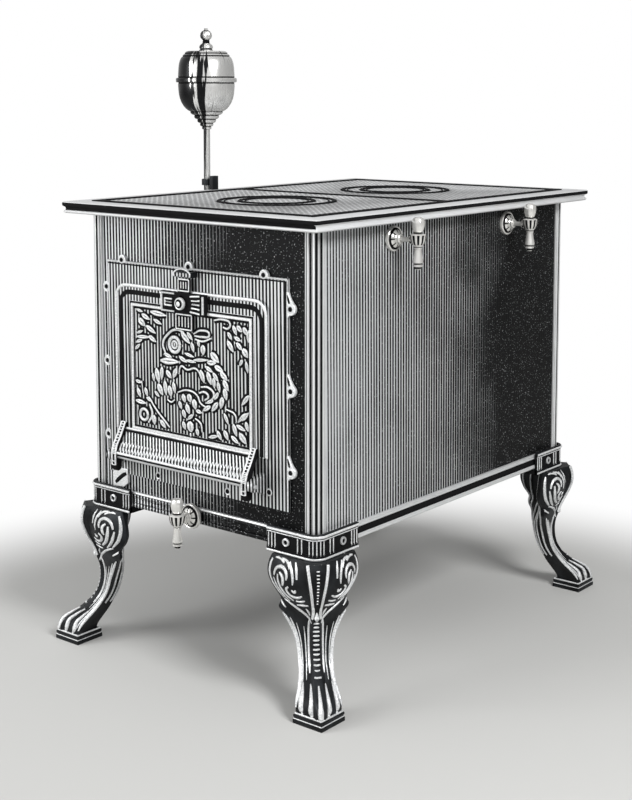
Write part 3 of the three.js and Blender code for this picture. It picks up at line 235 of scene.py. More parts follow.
def drawn(strokes, sides=1):
    """Rounded strokes of relief through points (x, y, z, radius), as one mesh"""
    curve = bpy.data.curves.new("strokes", "CURVE")
    curve.dimensions = "3D"
    curve.bevel_depth = 1
    curve.bevel_resolution = sides
    curve.resolution_u = 5
    curve.use_fill_caps = True
    for stroke in strokes:
        spline = curve.splines.new("BEZIER")
        spline.bezier_points.add(len(stroke) - 1)
        for point, (x, y, z, radius) in zip(spline.bezier_points, stroke):
            point.co = (x, y, z)
            point.radius = radius
            point.handle_left_type = "AUTO"
            point.handle_right_type = "AUTO"
    piece = bpy.data.objects.new("strokes", curve)
    bpy.context.scene.collection.objects.link(piece)
    bpy.ops.object.select_all(action="DESELECT")
    piece.select_set(True)
    bpy.context.view_layer.objects.active = piece
    bpy.ops.object.convert(target="MESH")
    piece = bpy.context.object
    return smoothed(piece, 60)


def settled(piece, name, finish, body, slot, *nodes):
    """Brings a piece drawn in millimetres about the body's middle into the row frame, and finishes it"""
    piece.name = name
    piece.data.name = name
    piece.data.transform(Matrix.Translation(body_middle) @ Matrix.Scale(0.001, 4))
    piece.data.materials.clear()
    piece.data.materials.append(finish)
    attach(piece, body)
    if nodes:
        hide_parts(*nodes)
    return piece


def pressed(strokes, face, share):
    """Strokes drawn at y = 0, pressed flat to a share of their height and laid on a face"""
    strokes.data.transform(Matrix.Translation((0, face, 0)) @ Matrix.Scale(share, 4, (0, 1, 0)))
    return strokes


# Sand-cast grey iron rubbed with black lead: a dark graphite sheen over a fine sandy grain of about 0.8 mm,
# drawn at 2 mm so that it shows, with paler rubbed patches every 40 mm or so.
black_leaded, tree, place = blank("black_leaded_cast_iron")
grain = noise(tree, place, 500, 3, 0.6)
rubbed = noise(tree, place, 25, 4)
patch = ranged(tree, rubbed, 0.4, 0.7)
tone = mixed(tree, patch, "#151618", "#2e3134")
fleck = node(tree, "Mix", {"data_type": "RGBA", "blend_type": "MULTIPLY", 0: 0.35}, {6: tone, 7: grain})
gloss = ranged(tree, grain, 0, 1, 0.36, 0.58)
height = bumped(tree, grain, 0.35, 0.0006)
surfaced(tree, {"Metallic": 0.5, "Specular IOR Level": 0.3}, fleck.outputs[2], height, gloss)

# The same iron where the brush and the polishing cloth reach it: ribs and scrolls worn bright, and
# painted near white on every side as a highlight.
rubbed_and_highlit_relief, tree, place = blank("rubbed_relief_painted_highlight")
grain = noise(tree, place, 420, 3)
mottle_and_painted_light = ranged(tree, grain, 0.35, 0.65)
tone = mixed(tree, mottle_and_painted_light, "#c8cacc", "#f3f4f4")
gloss = ranged(tree, grain, 0, 1, 0.28, 0.46)
height = bumped(tree, grain, 0.25, 0.0005)
surfaced(tree, {"Metallic": 0.3}, tone, height, gloss)

# Matt and nearly black, dusty in clouds 15 mm wide: black lead left in the iron's hollows, and painted shade
# wherever else it is laid on faces, lines and strokes.
black_lead_and_shade, tree, place = blank("black_lead_and_painted_shade")
dust = noise(tree, place, 65, 3)
tone = mixed(tree, dust, "#060607", "#141416")
height = bumped(tree, dust, 0.2, 0.0004)
surfaced(tree, {"Roughness": 0.85, "Specular IOR Level": 0.15}, tone, height)


def blackened(piece, in_shade):
    """Gives the faces of a settled piece that pass a test of middle and normal the black of painted shade"""
    piece.data.materials.append(black_lead_and_shade)
    for face in piece.data.polygons:
        middle = (face.center - body_middle) * 1000
        if in_shade(middle, face.normal):
            face.material_index = 1
    return piece


# Sections of the leg: height over the plinth as a share, then ridge, tongue, wing tip out and across, inside
# and bulge as shares of the knee's half width
knee_half = 70
stem_foot = 13.5
stem_tall = 221.5
leg_sections = [
    (1.000, 0.290, 0.215, -0.640, 0.900, -0.200, 0.02), (0.945, 0.350, 0.200, -0.690, 0.970, -0.200, 0.07),
    (0.875, 0.364, 0.170, -0.725, 1.000, -0.185, 0.10), (0.810, 0.310, 0.140, -0.730, 0.955, -0.205, 0.11),
    (0.745, 0.220, 0.110, -0.670, 0.840, -0.265, 0.09), (0.685, 0.125, 0.090, -0.560, 0.715, -0.350, 0.04),
    (0.630, 0.050, 0.085, -0.560, 0.770, -0.430, 0.01), (0.585, 0.000, 0.100, -0.500, 0.650, -0.520, 0.01),
    (0.520, -0.070, 0.107, -0.440, 0.520, -0.610, 0.02), (0.435, -0.084, 0.107, -0.360, 0.410, -0.605, 0.02),
    (0.345, -0.030, 0.107, -0.280, 0.360, -0.530, 0.02), (0.280, 0.080, 0.107, -0.180, 0.350, -0.450, 0.02),
    (0.230, 0.220, 0.115, -0.070, 0.350, -0.370, 0.03), (0.160, 0.500, 0.125, 0.120, 0.385, -0.240, 0.03),
    (0.100, 0.790, 0.130, 0.310, 0.445, -0.100, 0.02), (0.045, 0.900, 0.120, 0.420, 0.490, 0.020, 0.01),
    (0.000, 0.900, 0.120, 0.460, 0.490, 0.060, 0.00),
]
leg_rows = eased(leg_sections, 4)


def stem_level(share):
    """The height of a share of the stem"""
    return stem_foot + share * stem_tall


def leg_row(share):
    """The leg's row that lies nearest to a share of the stem's height"""
    return min(leg_rows, key=lambda row: abs(row[0] - share))


def from_diagonal(out, across, height):
    """A point beside the corner from its place along the diagonal and across it"""
    return (knee_half * (out - across) / math.sqrt(2), knee_half * (out + across) / math.sqrt(2), height)


def wing_point(row, share):
    """A point on the leg's outer skin between the ridge's tongue and the tip of the wing"""
    height, ridge, tongue, tip_out, tip_across, inside, bulge = row
    swell = bulge * math.sin(math.pi * min(1, share * 1.05))
    start = (ridge - tongue, tongue * 1.35)
    return (start[0] + (tip_out + 0.05 - start[0]) * share + swell,
            start[1] + (tip_across - start[1]) * share + swell)


def leg_ring(row):
    """One level section of the leg, as points round it"""
    height, ridge, tongue, tip_out, tip_across, inside, bulge = row
    half = [(ridge, 0), (ridge + 0.02, tongue * 0.75), (ridge - 0.02, tongue)]
    half += [wing_point(row, share) for share in (0, 0.2, 0.4, 0.6, 0.8)]
    half += [(tip_out, tip_across), (tip_out - 0.06, tip_across - 0.09)]
    half += [((tip_out + inside) / 2 - 0.05, tip_across / 2 - 0.06), (inside, 0)]
    back = [(out, -across) for out, across in half[-2:0:-1]]
    level = stem_level(height)
    return [from_diagonal(out, across, level) for out, across in half + back]


stem = lofted([leg_ring(row) for row in leg_rows])

# The plinth: a chamfered slab with a hollow round its waist
square = ((1, 1), (-1, 1), (-1, -1), (1, -1))
foot_reach = 51.5
plinth_width = 55.5
plinth_place = foot_reach - plinth_width / 2
plinth_steps = [(0, 27.6), (1.2, 27.7), (6, 27.7), (7, 26.6), (9, 26.2), (10.5, 27.2), (13, 27.2),
                (14.6, 25.4), (16, 24.2)]
plinth = lofted([[(plinth_place + x * half, plinth_place + y * half, level) for x, y in square]
                 for level, half in plinth_steps])


def skin_out(row, across):
    """How far out along the diagonal the leg's outer skin lies at a place across it"""
    height, ridge, tongue, tip_out, tip_across, inside, bulge = row
    if across <= tongue:
        return ridge
    share = min(1, max(0, (across - tongue * 1.35) / (tip_across - tongue * 1.35)))
    return wing_point(row, share)[0]


# The shoe: an angle of iron with a beaded lip and foot, round at the corner, on a flat plate
shoe_reach = 91
shoe_round = 20
shoe_face = 9.5
shoe_low = body_foot - 10
shoe_high = body_foot + 30
shoe_bend = shoe_round - shoe_face
shoe_pitch = (shoe_reach - 1 - shoe_bend) / 6
shoe_path = [((-shoe_reach, 0), (0, 1))]
shoe_path += [((k * shoe_pitch - shoe_reach + 1, 0), (0, 1)) for k in range(7)]
for k in range(11):
    turn_x, turn_y = math.sin(math.radians(9 * k)), math.cos(math.radians(9 * k))
    shoe_path.append(((shoe_bend * (turn_x - 1), shoe_bend * (turn_y - 1)), (turn_x, turn_y)))
shoe_path += [((0, k * shoe_pitch - shoe_reach + 1), (1, 0)) for k in range(6, -1, -1)]
shoe_path += [((0, -shoe_reach), (1, 0))]
shoe_wall = [
    (4.5, shoe_low), (9.1, shoe_low), (9.5, shoe_low + 0.6), (9.5, shoe_low + 3.6), (8.9, shoe_low + 4.4),
    (8.2, shoe_low + 4.8), (8.2, shoe_high - 6.4), (9.5, shoe_high - 5.6), (9.5, shoe_high - 1),
    (8.8, shoe_high), (4.5, shoe_high),
]
shoe = lofted([[(px + nx * out, py + ny * out, z) for out, z in shoe_wall]
               for (px, py), (nx, ny) in shoe_path])
plate_edge = [(px + nx * 9, py + ny * 9, shoe_low) for (px, py), (nx, ny) in shoe_path]
shelf_plate = extruded(plate_edge + [(-24, -shoe_reach, shoe_low), (-shoe_reach, -24, shoe_low)], (0, 0, 9.4))
casting = joined(stem, plinth, shoe, shelf_plate)

# The relief of the knee as it lies on one wing: distance from the corner and height, then the stroke's radius
knee_strokes = [
    [(72, 229, 1.6), (76, 219, 2.7), (77, 206, 2.9), (70.5, 189, 2.7), (60, 177, 2), (52, 170, 1.2)],
    [(64, 206, 1.8), (61, 215, 2.6), (51, 222, 2.8), (40, 220, 2.8), (35, 211, 2.4), (36, 205, 1.4)],
    [(66, 202, 1.4), (60, 189, 2.4), (50, 176, 2.2), (40, 168, 1.2)],
    [(55, 210, 1.6), (53, 197, 2.8), (45, 182, 2.8), (31, 171, 1.6)],
    [(50, 214, 1.8), (43.5, 208, 3), (43, 199, 2.8), (45, 194, 1.4)],
    [(65, 232, 1.2), (54, 233, 2.4), (44, 229, 1.8)], [(49, 234, 1), (37, 230, 2.2), (31, 222, 1.4)],
    [(34, 232, 1.2), (27, 220, 2.4), (24, 207, 2), (25, 199, 1)],
    [(24, 233, 1), (19, 222, 2.2), (17, 209, 1.4)],
    [(33, 195, 1.6), (38, 189, 2.4), (33, 181, 2.6), (22, 178, 2.4), (13, 182, 1.2)],
    [(28, 190, 1.6), (24, 187, 2.4), (21, 191, 1.4)], [(26, 171, 1.2), (18, 171.5, 2), (11, 174, 1.2)],
    [(27, 164, 1.2), (17, 165, 2.3), (8, 166, 1.4)], [(14, 160, 1), (11, 155, 1.9), (10, 149, 1)],
    [(52, 168, 1.2), (40, 164, 2.2), (27, 157, 2.4), (14, 147, 2.2), (8, 137, 1.2)],
    [(66, 166, 1.2), (58, 160, 2), (50, 155, 1.2)],
]
knee_relief = drawn([[(-s, 0, z, radius) for s, z, radius in stroke] for stroke in knee_strokes])
skin = BVHTree.FromPolygons([v.co for v in casting.data.vertices],
                            [list(p.vertices) for p in casting.data.polygons])
for vertex in knee_relief.data.vertices:
    found = skin.ray_cast(Vector((vertex.co.x, 200, vertex.co.z)), Vector((0, -1, 0)))[0]
    if found is None:
        found = skin.find_nearest(Vector((vertex.co.x, -30, vertex.co.z)))[0]
    vertex.co = (found.x, found.y + vertex.co.y * 0.75, found.z)
other_wing = Matrix(((0, 1, 0, 0), (1, 0, 0, 0), (0, 0, 1, 0), (0, 0, 0, 1)))
knee_other = copied(knee_relief, other_wing)

# Ribs down the shin: share of the way from the tongue to the tip of the wing, upper and lower end as shares
# of the stem's height, and radius
shin_ribs = [(0.0, 0.6, 0.19, 2.2), (0.25, 0.52, 0.19, 0.9), (0.6, 0.54, 0.12, 0.9), (0.82, 0.58, 0.03, 1.5),
             (1.0, 0.6, 0.01, 2.5)]
# Ribs on the wing's back: share of the way from its tip to the inside of the leg, and radius
back_ribs = [(0.12, 1.8), (0.42, 1.4), (0.74, 1.6)]
ladder_top = 0.56
ladder_pitch = 0.031
ladder_rungs = 12
pearls_top = 0.96
pearls_pitch = 0.024
pearls_count = 11
drop_height = 0.61

# The ribs, the ladder on the shin's tongue, the row of pearls on the knee, a drop between them, and the claws
# spread over the plinth
ribs = []
for side in (-1, 1):
    for share, top, foot, wide in shin_ribs:
        rows = [row for row in leg_rows if foot <= row[0] <= top][::3]
        ribs.append([
            (*from_diagonal(wing_point(row, share)[0], side * wing_point(row, share)[1], stem_level(row[0])),
             wide * (0.5 if row in (rows[0], rows[-1]) else 1))
            for row in rows
        ])
    rows = [row for row in leg_rows if 0.58 <= row[0]][::3]
    ribs.append([
        (*from_diagonal(row[1] - 0.01, side * row[2] * (1 if row[0] > 0.7 else 0.9), stem_level(row[0])), 2.5)
        for row in rows
    ])
    ribs.append([(*from_diagonal(row[1] - 0.02, side * row[2] * 0.36, stem_level(row[0])), 0.8)
                 for row in rows if row[0] > 0.7])
    rows = [row for row in leg_rows if 0.2 <= row[0]][::4]
    for share, wide in back_ribs:
        proud = 0.075 * (1 - abs(2 * share - 1))
        ribs.append([
            (*from_diagonal(row[3] - 0.06 + (row[5] - row[3] + 0.06) * share - proud,
                            side * ((row[4] - 0.09) * (1 - share) - proud / 4), stem_level(row[0])), wide)
            for row in rows
        ])
for k in range(ladder_rungs):
    height = ladder_top - k * ladder_pitch
    row, level = leg_row(height), stem_level(height)
    ribs.append([(*from_diagonal(row[1] + out, side * row[2] * 0.62, level), 1.5)
                 for side, out in ((-1, 0), (0, 0.02), (1, 0))])
for k in range(pearls_count):
    height = pearls_top - k * pearls_pitch
    row, level = leg_row(height), stem_level(height)
    ribs.append([(*from_diagonal(row[1] + 0.008, side * row[2] * 0.16, level), 1.1) for side in (-1, 0, 1)])
drop_row, drop_level = leg_row(drop_height), stem_level(drop_height - 0.005)
ribs.append([(*from_diagonal(drop_row[1] + 0.03, 0, drop_level + lift), wide)
             for lift, wide in ((-5, 1.6), (-1, 4.2), (5, 2.4), (11, 1))])
claw_spreads = (-0.4, -0.2, 0, 0.2, 0.4)
claw_heights = ((0.17, 1.2), (0.13, 2.4), (0.09, 3.2), (0.045, 4.7), (0.01, 3.9), (-0.005, 1.6))
for spread in claw_spreads:
    claw = []
    for height, thick in claw_heights:
        row = leg_row(height)
        across = spread * (0.62 + 0.38 * min(1, (0.25 - height) / 0.2))
        out = skin_out(row, abs(across)) + (0.05 if height < 0.03 else 0.01)
        x, y, level = from_diagonal(out, across, stem_level(max(height, 0.012)) + 2)
        held = foot_reach - 0.5 - thick
        claw.append((min(x, held), min(y, held), level, thick))
    ribs.append(claw)
plinth_beads = ((15.2, 25.2, 1.5), (7.2, 26.5, 0.9), (3.2, 26.5, 1.1))
for level, half, thick in plinth_beads:
    ring = [(plinth_place + x * half, plinth_place + y * half) for x, y in square + square[:1]]
    for (x0, y0), (x1, y1) in zip(ring, ring[1:]):
        ribs.append([(x0, y0, level, thick), (x1, y1, level, thick)])
rib_relief = drawn(ribs)

# Lips along the shoe, upright flutes at both its ends and round its corner
shoe_lines = [[(x + nx * 9.3, y + ny * 9.3, level, thick) for (x, y), (nx, ny) in shoe_path[1:-1]]
              for level, thick in ((shoe_high - 3.6, 2.2), (shoe_low + 2.4, 1.8))]
shoe_lines += [[(x + nx * 8.4, y + ny * 8.4, shoe_high - 8.5, 0.9) for (x, y), (nx, ny) in shoe_path[1:-1]]]
for (x, y), (nx, ny) in shoe_path[9:18:2]:
    shoe_lines.append([(x + nx * 8.2, y + ny * 8.2, level, 0.9) for level in (shoe_low + 7, shoe_high - 10)])
face_relief = drawn([[(x, 8.2, shoe_low + 7, 1), (x, 8.2, shoe_high - 10, 1)]
                     for x in (-87.5, -81, -74.5, -22, -30)])
shoe_other = copied(face_relief, other_wing)
shoe_relief = joined(drawn(shoe_lines), face_relief)
relief = joined(knee_relief, knee_other, rib_relief, shoe_relief, shoe_other)

for corner, (x, y, degrees) in corner_turns.items():
    turn = Matrix.Translation((x, y, 0)) @ Matrix.Rotation(math.radians(degrees), 4, "Z")
    leg = settled(copied(casting, turn), f"leg_casting_{corner}", black_leaded, "stove", "cast_iron",
                  f"leg_{corner}")
    # Painted shade: the shoe's face between its lip and its foot is painted black
    blackened(leg, lambda middle, normal: shoe_low + 4.5 < middle.z < shoe_high - 6.5 and abs(normal.z) < 0.5)
    settled(copied(relief, turn), f"leg_relief_{corner}", rubbed_and_highlit_relief, "stove", "cast_iron")
for spare in (casting, relief):
    bpy.data.objects.remove(spare)

# Leg bolts. Two cheese-headed steel bolts hold each shoe to the body, seen as a bright head on a washer
# ring. Turned mild steel, left bright from the lathe with fine turning rings across the face; the middle of
# each head is painted black as shade.

bolt_seat = 8.8
bolt_profile = [
    (0, bolt_seat + 2.2), (1.6, bolt_seat + 2), (2.8, bolt_seat + 1.4), (3.2, bolt_seat + 0.8),
    (3.4, bolt_seat + 0.8), (3.8, bolt_seat + 2.4), (4.8, bolt_seat + 3), (6.1, bolt_seat + 2.4),
    (6.6, bolt_seat + 1), (6.6, bolt_seat), (3.5, bolt_seat), (3.5, -2.5), (0, -2.5),
]


def turned(outline, steps=48, degrees=35):
    """An outline of (radius, height) points spun about the Z axis"""
    piece = loop_of([(radius, 0, height) for radius, height in outline], "NOTHING")
    bpy.ops.mesh.spin(steps=steps, angle=math.tau, center=(0, 0, 0), axis=(0, 0, 1))
    bpy.ops.mesh.select_all(action="SELECT")
    bpy.ops.mesh.remove_doubles(threshold=0.001)
    bpy.ops.mesh.delete_loose()
    bpy.ops.object.mode_set(mode="OBJECT")
    return smoothed(piece, degrees)


# Bright mild steel: pale neutral grey, satin from the file and the lathe. The file's marks are 0.4 mm apart,
# drawn at 1.5 mm, with a faint dulling from handling every 20 mm.
filed_steel, tree, place = blank("filed_bright_steel")
marks = noise(tree, place, 650, 2)
dull = noise(tree, place, 50, 3)
tone = mixed(tree, dull, "#b6b8ba", "#e6e7e8")
gloss = ranged(tree, marks, 0, 1, 0.22, 0.42)
height = bumped(tree, marks, 0.15, 0.0003)
surfaced(tree, {"Metallic": 0.6}, tone, height, gloss)

bolt_place = 52
bolt_level = body_foot + 10
bolt = turned(bolt_profile, 24)
for corner, (x, y, degrees) in corner_turns.items():
    across, along = math.copysign(1, x), math.copysign(1, y)
    side_place = Matrix.Translation((x, y - along * bolt_place, bolt_level))
    end_place = Matrix.Translation((x - across * bolt_place, y, bolt_level))
    to_side = side_place @ Matrix.Rotation(across * math.pi / 2, 4, "Y")
    to_end = end_place @ Matrix.Rotation(-along * math.pi / 2, 4, "X")
    for turn, side, old in ((to_side, "side", "a"), (to_end, "end", "b")):
        head = settled(copied(bolt, turn), f"bolt_{corner}_{side}", filed_steel, "stove", "bright_steel",
                       f"leg_bolt_{corner}_{old}")
        centre = turn @ Vector((0, 0, 0))
        axis = 0 if side == "side" else 1
        # Painted shade: the middle of each bolt head is painted black
        blackened(head, lambda middle, normal: bolt_seat < abs((middle - centre)[axis])
                  and math.hypot((middle - centre)[1 - axis], middle.z - centre.z) < 3.5)
bpy.data.objects.remove(bolt)


# Body sheets. Front, rear and side walls, the base pan, the burner tray and the oven with its shelf, bent
# from planished iron sheet and riveted at the corners. They keep the frame's own shapes.


def finished(name, finish):
    """Gives one of the frame's own pieces its material"""
    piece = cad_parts[name]
    piece.data.materials.clear()
    piece.data.materials.append(finish)


# Planished sheet iron, combed upright by the roller's scratch brush: bright lines 7 mm apart on dark blued
# iron, with pale specks 2 mm wide. Painted shade: the lines are broad at the lit end of each wall and close
# up towards its shaded end, a ramp along the wall, so each wall has its own material; inside, the ramp runs
# upward and leaves it dark.
planished = {}
walls = [
    ("front", ("front_panel",), "X", -0.34, 0.26), ("rear", ("rear_panel",), "X", 0.36, -0.3),
    ("sides", ("left_panel", "right_panel"), "Y", -0.4, 0.36),
    ("inside", ("base_pan", "burner_tray", "oven_box"), "Z", -0.1, 0.3),
]
for wall, sheets, run, lit_end, shaded_end in walls:
    planished_sheet, tree, place = blank(f"combed_sheet_painted_shade_{wall}")
    parts = node(tree, "SeparateXYZ", {}, {0: place})
    comb = combed_lines(tree, place, 88)
    cloud = noise(tree, place, 9, 4)
    grit = noise(tree, place, 380, 1)
    # Painted shade: the lines close up along a ramp from the wall's lit end to its shaded end
    painted_shade_ramp = ranged(tree, parts.outputs[run], shaded_end, lit_end)
    mottle_and_painted_light = worked(tree, "MULTIPLY_ADD", cloud, 0.35, painted_shade_ramp)
    share = worked(tree, "MULTIPLY_ADD", comb, 0.9, mottle_and_painted_light)
    reach = ranged(tree, share, 1.35, 1.54)
    speck = ranged(tree, grit, 0.66, 0.7, 0, 0.5)
    bright = worked(tree, "MAXIMUM", reach, speck)
    tone = mixed(tree, bright, "#0b0c0d", "#d6d8da")
    gloss = ranged(tree, grit, 0, 1, 0.36, 0.55)
    height = bumped(tree, comb, 0.15, 0.0004)
    surfaced(tree, {"Metallic": 0.4, "Specular IOR Level": 0.15}, tone, height, gloss)
    planished[wall] = planished_sheet
    for name in sheets:
        finished(name, planished_sheet)
finished("oven_shelf", filed_steel)


# Base rails. A drawn steel moulding round the foot of the body: a heavy bead at the bottom, a flat band and
# a finer double bead on top. The sides' rails are polished, their band painted black as shade; in front and
# behind the moulding is combed like the sheet and its upper beads are polished.

rail_profile = [
    (-2.5, 0), (0.6, 0), (2.6, 1), (4, 2.8), (4.2, 4.6), (3.6, 6.6), (2.2, 8), (0.4, 8.6), (0.2, 9.4),
    (0.2, 18), (1.6, 18.6), (2.2, 19.8), (1.6, 21), (0.5, 21.4), (0.5, 22), (1.8, 22.8), (2.3, 24.2),
    (1.7, 25.6), (0.4, 26), (-2.5, 26),
]

# Polished steel moulding: bright, with fine lines 1 mm apart, drawn at 2 mm, and a grey dullness where the
# cloth does not reach.
drawn_moulding, tree, place = blank("polished_drawn_moulding")
dull = noise(tree, place, 30, 5, 0.6)
lines = noise(tree, place, 500, 2)
tone = mixed(tree, dull, "#cfd1d3", "#eff0f0")
gloss = ranged(tree, lines, 0, 1, 0.24, 0.44)
height = bumped(tree, lines, 0.12, 0.0003)
surfaced(tree, {"Metallic": 0.45}, tone, height, gloss)

tap_shift = -12
tap_level = body_foot + 12


def cut_by(piece, tool):
    """Cuts a tool's shape out of a piece and throws the tool away"""
    bpy.context.view_layer.objects.active = piece
    hole = piece.modifiers.new("hole", "BOOLEAN")
    hole.object = tool
    hole.solver = "EXACT"
    bpy.ops.object.modifier_apply(modifier="hole")
    bpy.data.objects.remove(tool)
    return piece


def rod(start, end, radius, steps=24):
    """A plain round bar between two points, for boring"""
    way = Vector(end) - Vector(start)
    bar = turned([(0, 0), (radius, 0), (radius, way.length), (0, way.length)], steps)
    bar.data.transform(Matrix.Translation(start) @ way.to_track_quat("Z", "Y").to_matrix().to_4x4())
    return bar


post_reach = 22
short_rail = half_width - post_reach - 0.3
long_rail = half_depth - post_reach - 0.3
rails = [("front", short_rail, half_depth, 0), ("right", long_rail, half_width, 90),
         ("rear", short_rail, half_depth, 180), ("left", long_rail, half_width, -90)]
for side, length, distance, degrees in rails:
    rail = extruded([(-length, -distance - out, body_foot + up) for out, up in rail_profile],
                    (length * 2, 0, 0))
    rail.data.transform(Matrix.Rotation(math.radians(degrees), 4, "Z"))
    if side == "front":
        cut_by(rail, rod((tap_shift, -distance - 9, tap_level), (tap_shift, -distance + 9, tap_level), 4.8))
    settled(rail, f"rail_{side}", drawn_moulding, "stove", "moulding", f"base_rail_{side}")
    if side in ("front", "rear"):
        rail.data.materials.append(planished[side])
        for face in rail.data.polygons:
            face.material_index = int(face.center.z * 1000 < body_foot + 22.4)
    else:
        # Painted shade: the flat band of each side rail is painted black
        blackened(rail, lambda middle, normal: body_foot + 8 < middle.z < body_foot + 18.4)


# Corner posts. A drawn steel corner with a three-quarter column on the edge and two beads beside it on
# each face, cut off square between the base rail and the hob. Polished steel, painted black as shade between
# its beads and on the column's two slanting flanks at the corner.

hob_top = 750
post_top = hob_top - 10.3


def post_half(along_x):
    """Half of the post's section, from the column to its end, as distances along one face"""
    points = [(-12.6, -2.2), (-13.6, -1)]
    for middle, radius in ((15.9, 2.1), (20.6, 1)):
        points += [(-middle + radius * math.cos(a), radius * math.sin(a))
                   for a in (math.pi * k / 6 for k in range(7))]
    points += [(-post_reach, 0), (-post_reach, -2.5)]
    return points if along_x else [(y, x) for x, y in points][::-1]


column = [(-6.4 + 6.4 * math.cos(a), -6.4 + 6.4 * math.sin(a))
          for a in (math.radians(-55 + 20 * k) for k in range(11))]
post_section = post_half(False) + column + post_half(True) + [(-7, -2.5), (-2.5, -7)]
post = extruded([(x, y, body_foot) for x, y in post_section], (0, 0, post_top - body_foot))
for corner, (x, y, degrees) in corner_turns.items():
    turn = Matrix.Translation((x, y, 0)) @ Matrix.Rotation(math.radians(degrees), 4, "Z")
    upright = settled(copied(post, turn), f"post_{corner}", drawn_moulding, "stove", "moulding",
                      f"corner_post_{corner}")
    back = turn.inverted()
    # Painted shade: black between the beads and on the column's slanting flanks
    blackened(upright, lambda middle, normal: abs(normal.z) < 0.1 and (
        10.9 < -min((back @ middle)[:2]) < 13.9 or 18 < -min((back @ middle)[:2]) < 19.6
        or -min((back @ middle)[:2]) < 10.9 and min(abs(normal.x), abs(normal.y)) > 0.42))
bpy.data.objects.remove(post)


# Hob. One iron casting with a nosed rim over a cove and a bead, two panels framed by a raised fillet and
# two round places for the rings. Stippled in the mould and ground on top; the fillets and the upright
# faces of the rim are painted black as shade, on the right side only a narrower band.

hob_half_x = 273.5
hob_half_y = 397.5
hob_round = 5
hob_levels = [
    (19, -5), (18.2, -2.9), (17, -2), (15.8, -2), (14.4, -2.8), (13.8, -4.6), (12.6, -5), (9.6, -4.6),
    (8.2, -3), (7.4, -1.2), (6.4, -0.2), (5, 0), (2.6, 0), (1.4, -0.3), (0.4, -1), (0, -2),
]
hob_plate = 10
hollow_half_x = 259
hollow_half_y = 383
ring_place = 166.5
place_hole = 94
place_bore = 100.6
place_seat = 6.3
line_inset = 42
line_half = 6


def round_cornered(half_x, half_y, radius, level, steps=5):
    """A rectangle with rounded corners as a level ring of points"""
    return [
        (sx * (half_x - radius) + radius * math.cos(a), sy * (half_y - radius) + radius * math.sin(a), level)
        for corner, (sx, sy) in enumerate(square)
        for a in (math.pi / 2 * (corner + k / steps) for k in range(steps + 1))
    ]


def slab(x0, x1, y0, y1, z0, z1):
    """A plain block between two corners, for cutting"""
    return extruded([(x0, y0, z0), (x1, y0, z0), (x1, y1, z0), (x0, y1, z0)], (0, 0, z1 - z0))


hob = lofted([
    round_cornered(hob_half_x + out, hob_half_y + out, hob_round + out * 0.5, hob_top - down)
    for down, out in hob_levels
])
for sign in (-1, 1):
    over = (0, sign * ring_place, hob_top + 9)
    cut_by(hob, rod((0, sign * ring_place, hob_top - 40), over, place_hole, 96))
    cut_by(hob, rod((0, sign * ring_place, hob_top - place_seat), over, place_bore, 96))
cut_by(hob, slab(-hollow_half_x, hollow_half_x, -hollow_half_y, hollow_half_y, hob_top - 30,
                 hob_top - hob_plate))
smoothed(hob)

# Cast iron ground by the wheel: pale grey with a soft sheen, fine swirls 2 mm apart, and black pips 6 mm
# apart from the stippled mould, drawn at 12 mm so that they show.
ground_iron, tree, place = blank("ground_hob_iron")
flat = node(tree, "Mapping", {"Scale": (1, 1, 0)}, {"Vector": place})
pips = node(tree, "TexVoronoi", {"Scale": 83, "Randomness": 0.1}, {"Vector": flat.outputs[0]})
pip = ranged(tree, pips.outputs["Distance"], 0.24, 0.34, 1, 0)
swirl = noise(tree, place, 500, 3)
cloud = noise(tree, place, 14, 4)
tone = mixed(tree, cloud, "#c4c5c7", "#dcdddd")
centred = worked(tree, "SUBTRACT", place, body_middle, kind="VectorMath")
sized = worked(tree, "ABSOLUTE", centred, kind="VectorMath")
parts = node(tree, "SeparateXYZ", {}, {0: sized})
on_top = ranged(tree, parts.outputs["Z"], 0.7494, 0.7498)
in_x = worked(tree, "LESS_THAN", parts.outputs["X"], (hob_half_x - line_inset) / 1000)
in_y = worked(tree, "LESS_THAN", parts.outputs["Y"], (hob_half_y - line_inset) / 1000)
inside = worked(tree, "MULTIPLY", in_x, in_y)
placed = worked(tree, "MULTIPLY", inside, on_top)
sunk = worked(tree, "MULTIPLY", pip, placed)
dot = node(tree, "Mix", {"data_type": "RGBA", 7: colour("#141517")}, {0: sunk, 6: tone})
gloss = ranged(tree, swirl, 0, 1, 0.5, 0.68)
height = bumped(tree, sunk, 0.3, 0.0005, True)
surfaced(tree, {"Metallic": 0.3, "Specular IOR Level": 0.3}, dot.outputs[2], height, gloss)
settled(hob, "hob_casting", ground_iron, "stove", "hob_iron", "hob_plate")
# Painted shade: the rim's upright faces, a narrower band on the right side
blackened(hob, lambda middle, normal: abs(normal.z) < 0.95
          and max(abs(middle.x) - hob_half_x, abs(middle.y) - hob_half_y) > -6
          and hob_top - (7.4 if middle.x > hob_half_x - 6 else 13.5) < middle.z < hob_top - 1.5)

# The fillets: one along each side, and three across, which frame the two panels, painted black as shade
fillet_foot = hob_top - 0.5
fillet_top = hob_top + 1.9
fillets = []
far = hob_half_y - line_inset
wide = hob_half_x - line_inset
for x in (-wide, wide):
    fillets.append(slab(x - line_half, x + line_half, -far - line_half, far + line_half,
                        fillet_foot, fillet_top))
for y in (-far, 0, far):
    fillets.append(slab(line_half - wide, wide - line_half, y - line_half, y + line_half,
                        fillet_foot, fillet_top))
settled(joined(*fillets), "hob_shade_fillets", black_lead_and_shade, "stove", "hob_iron")
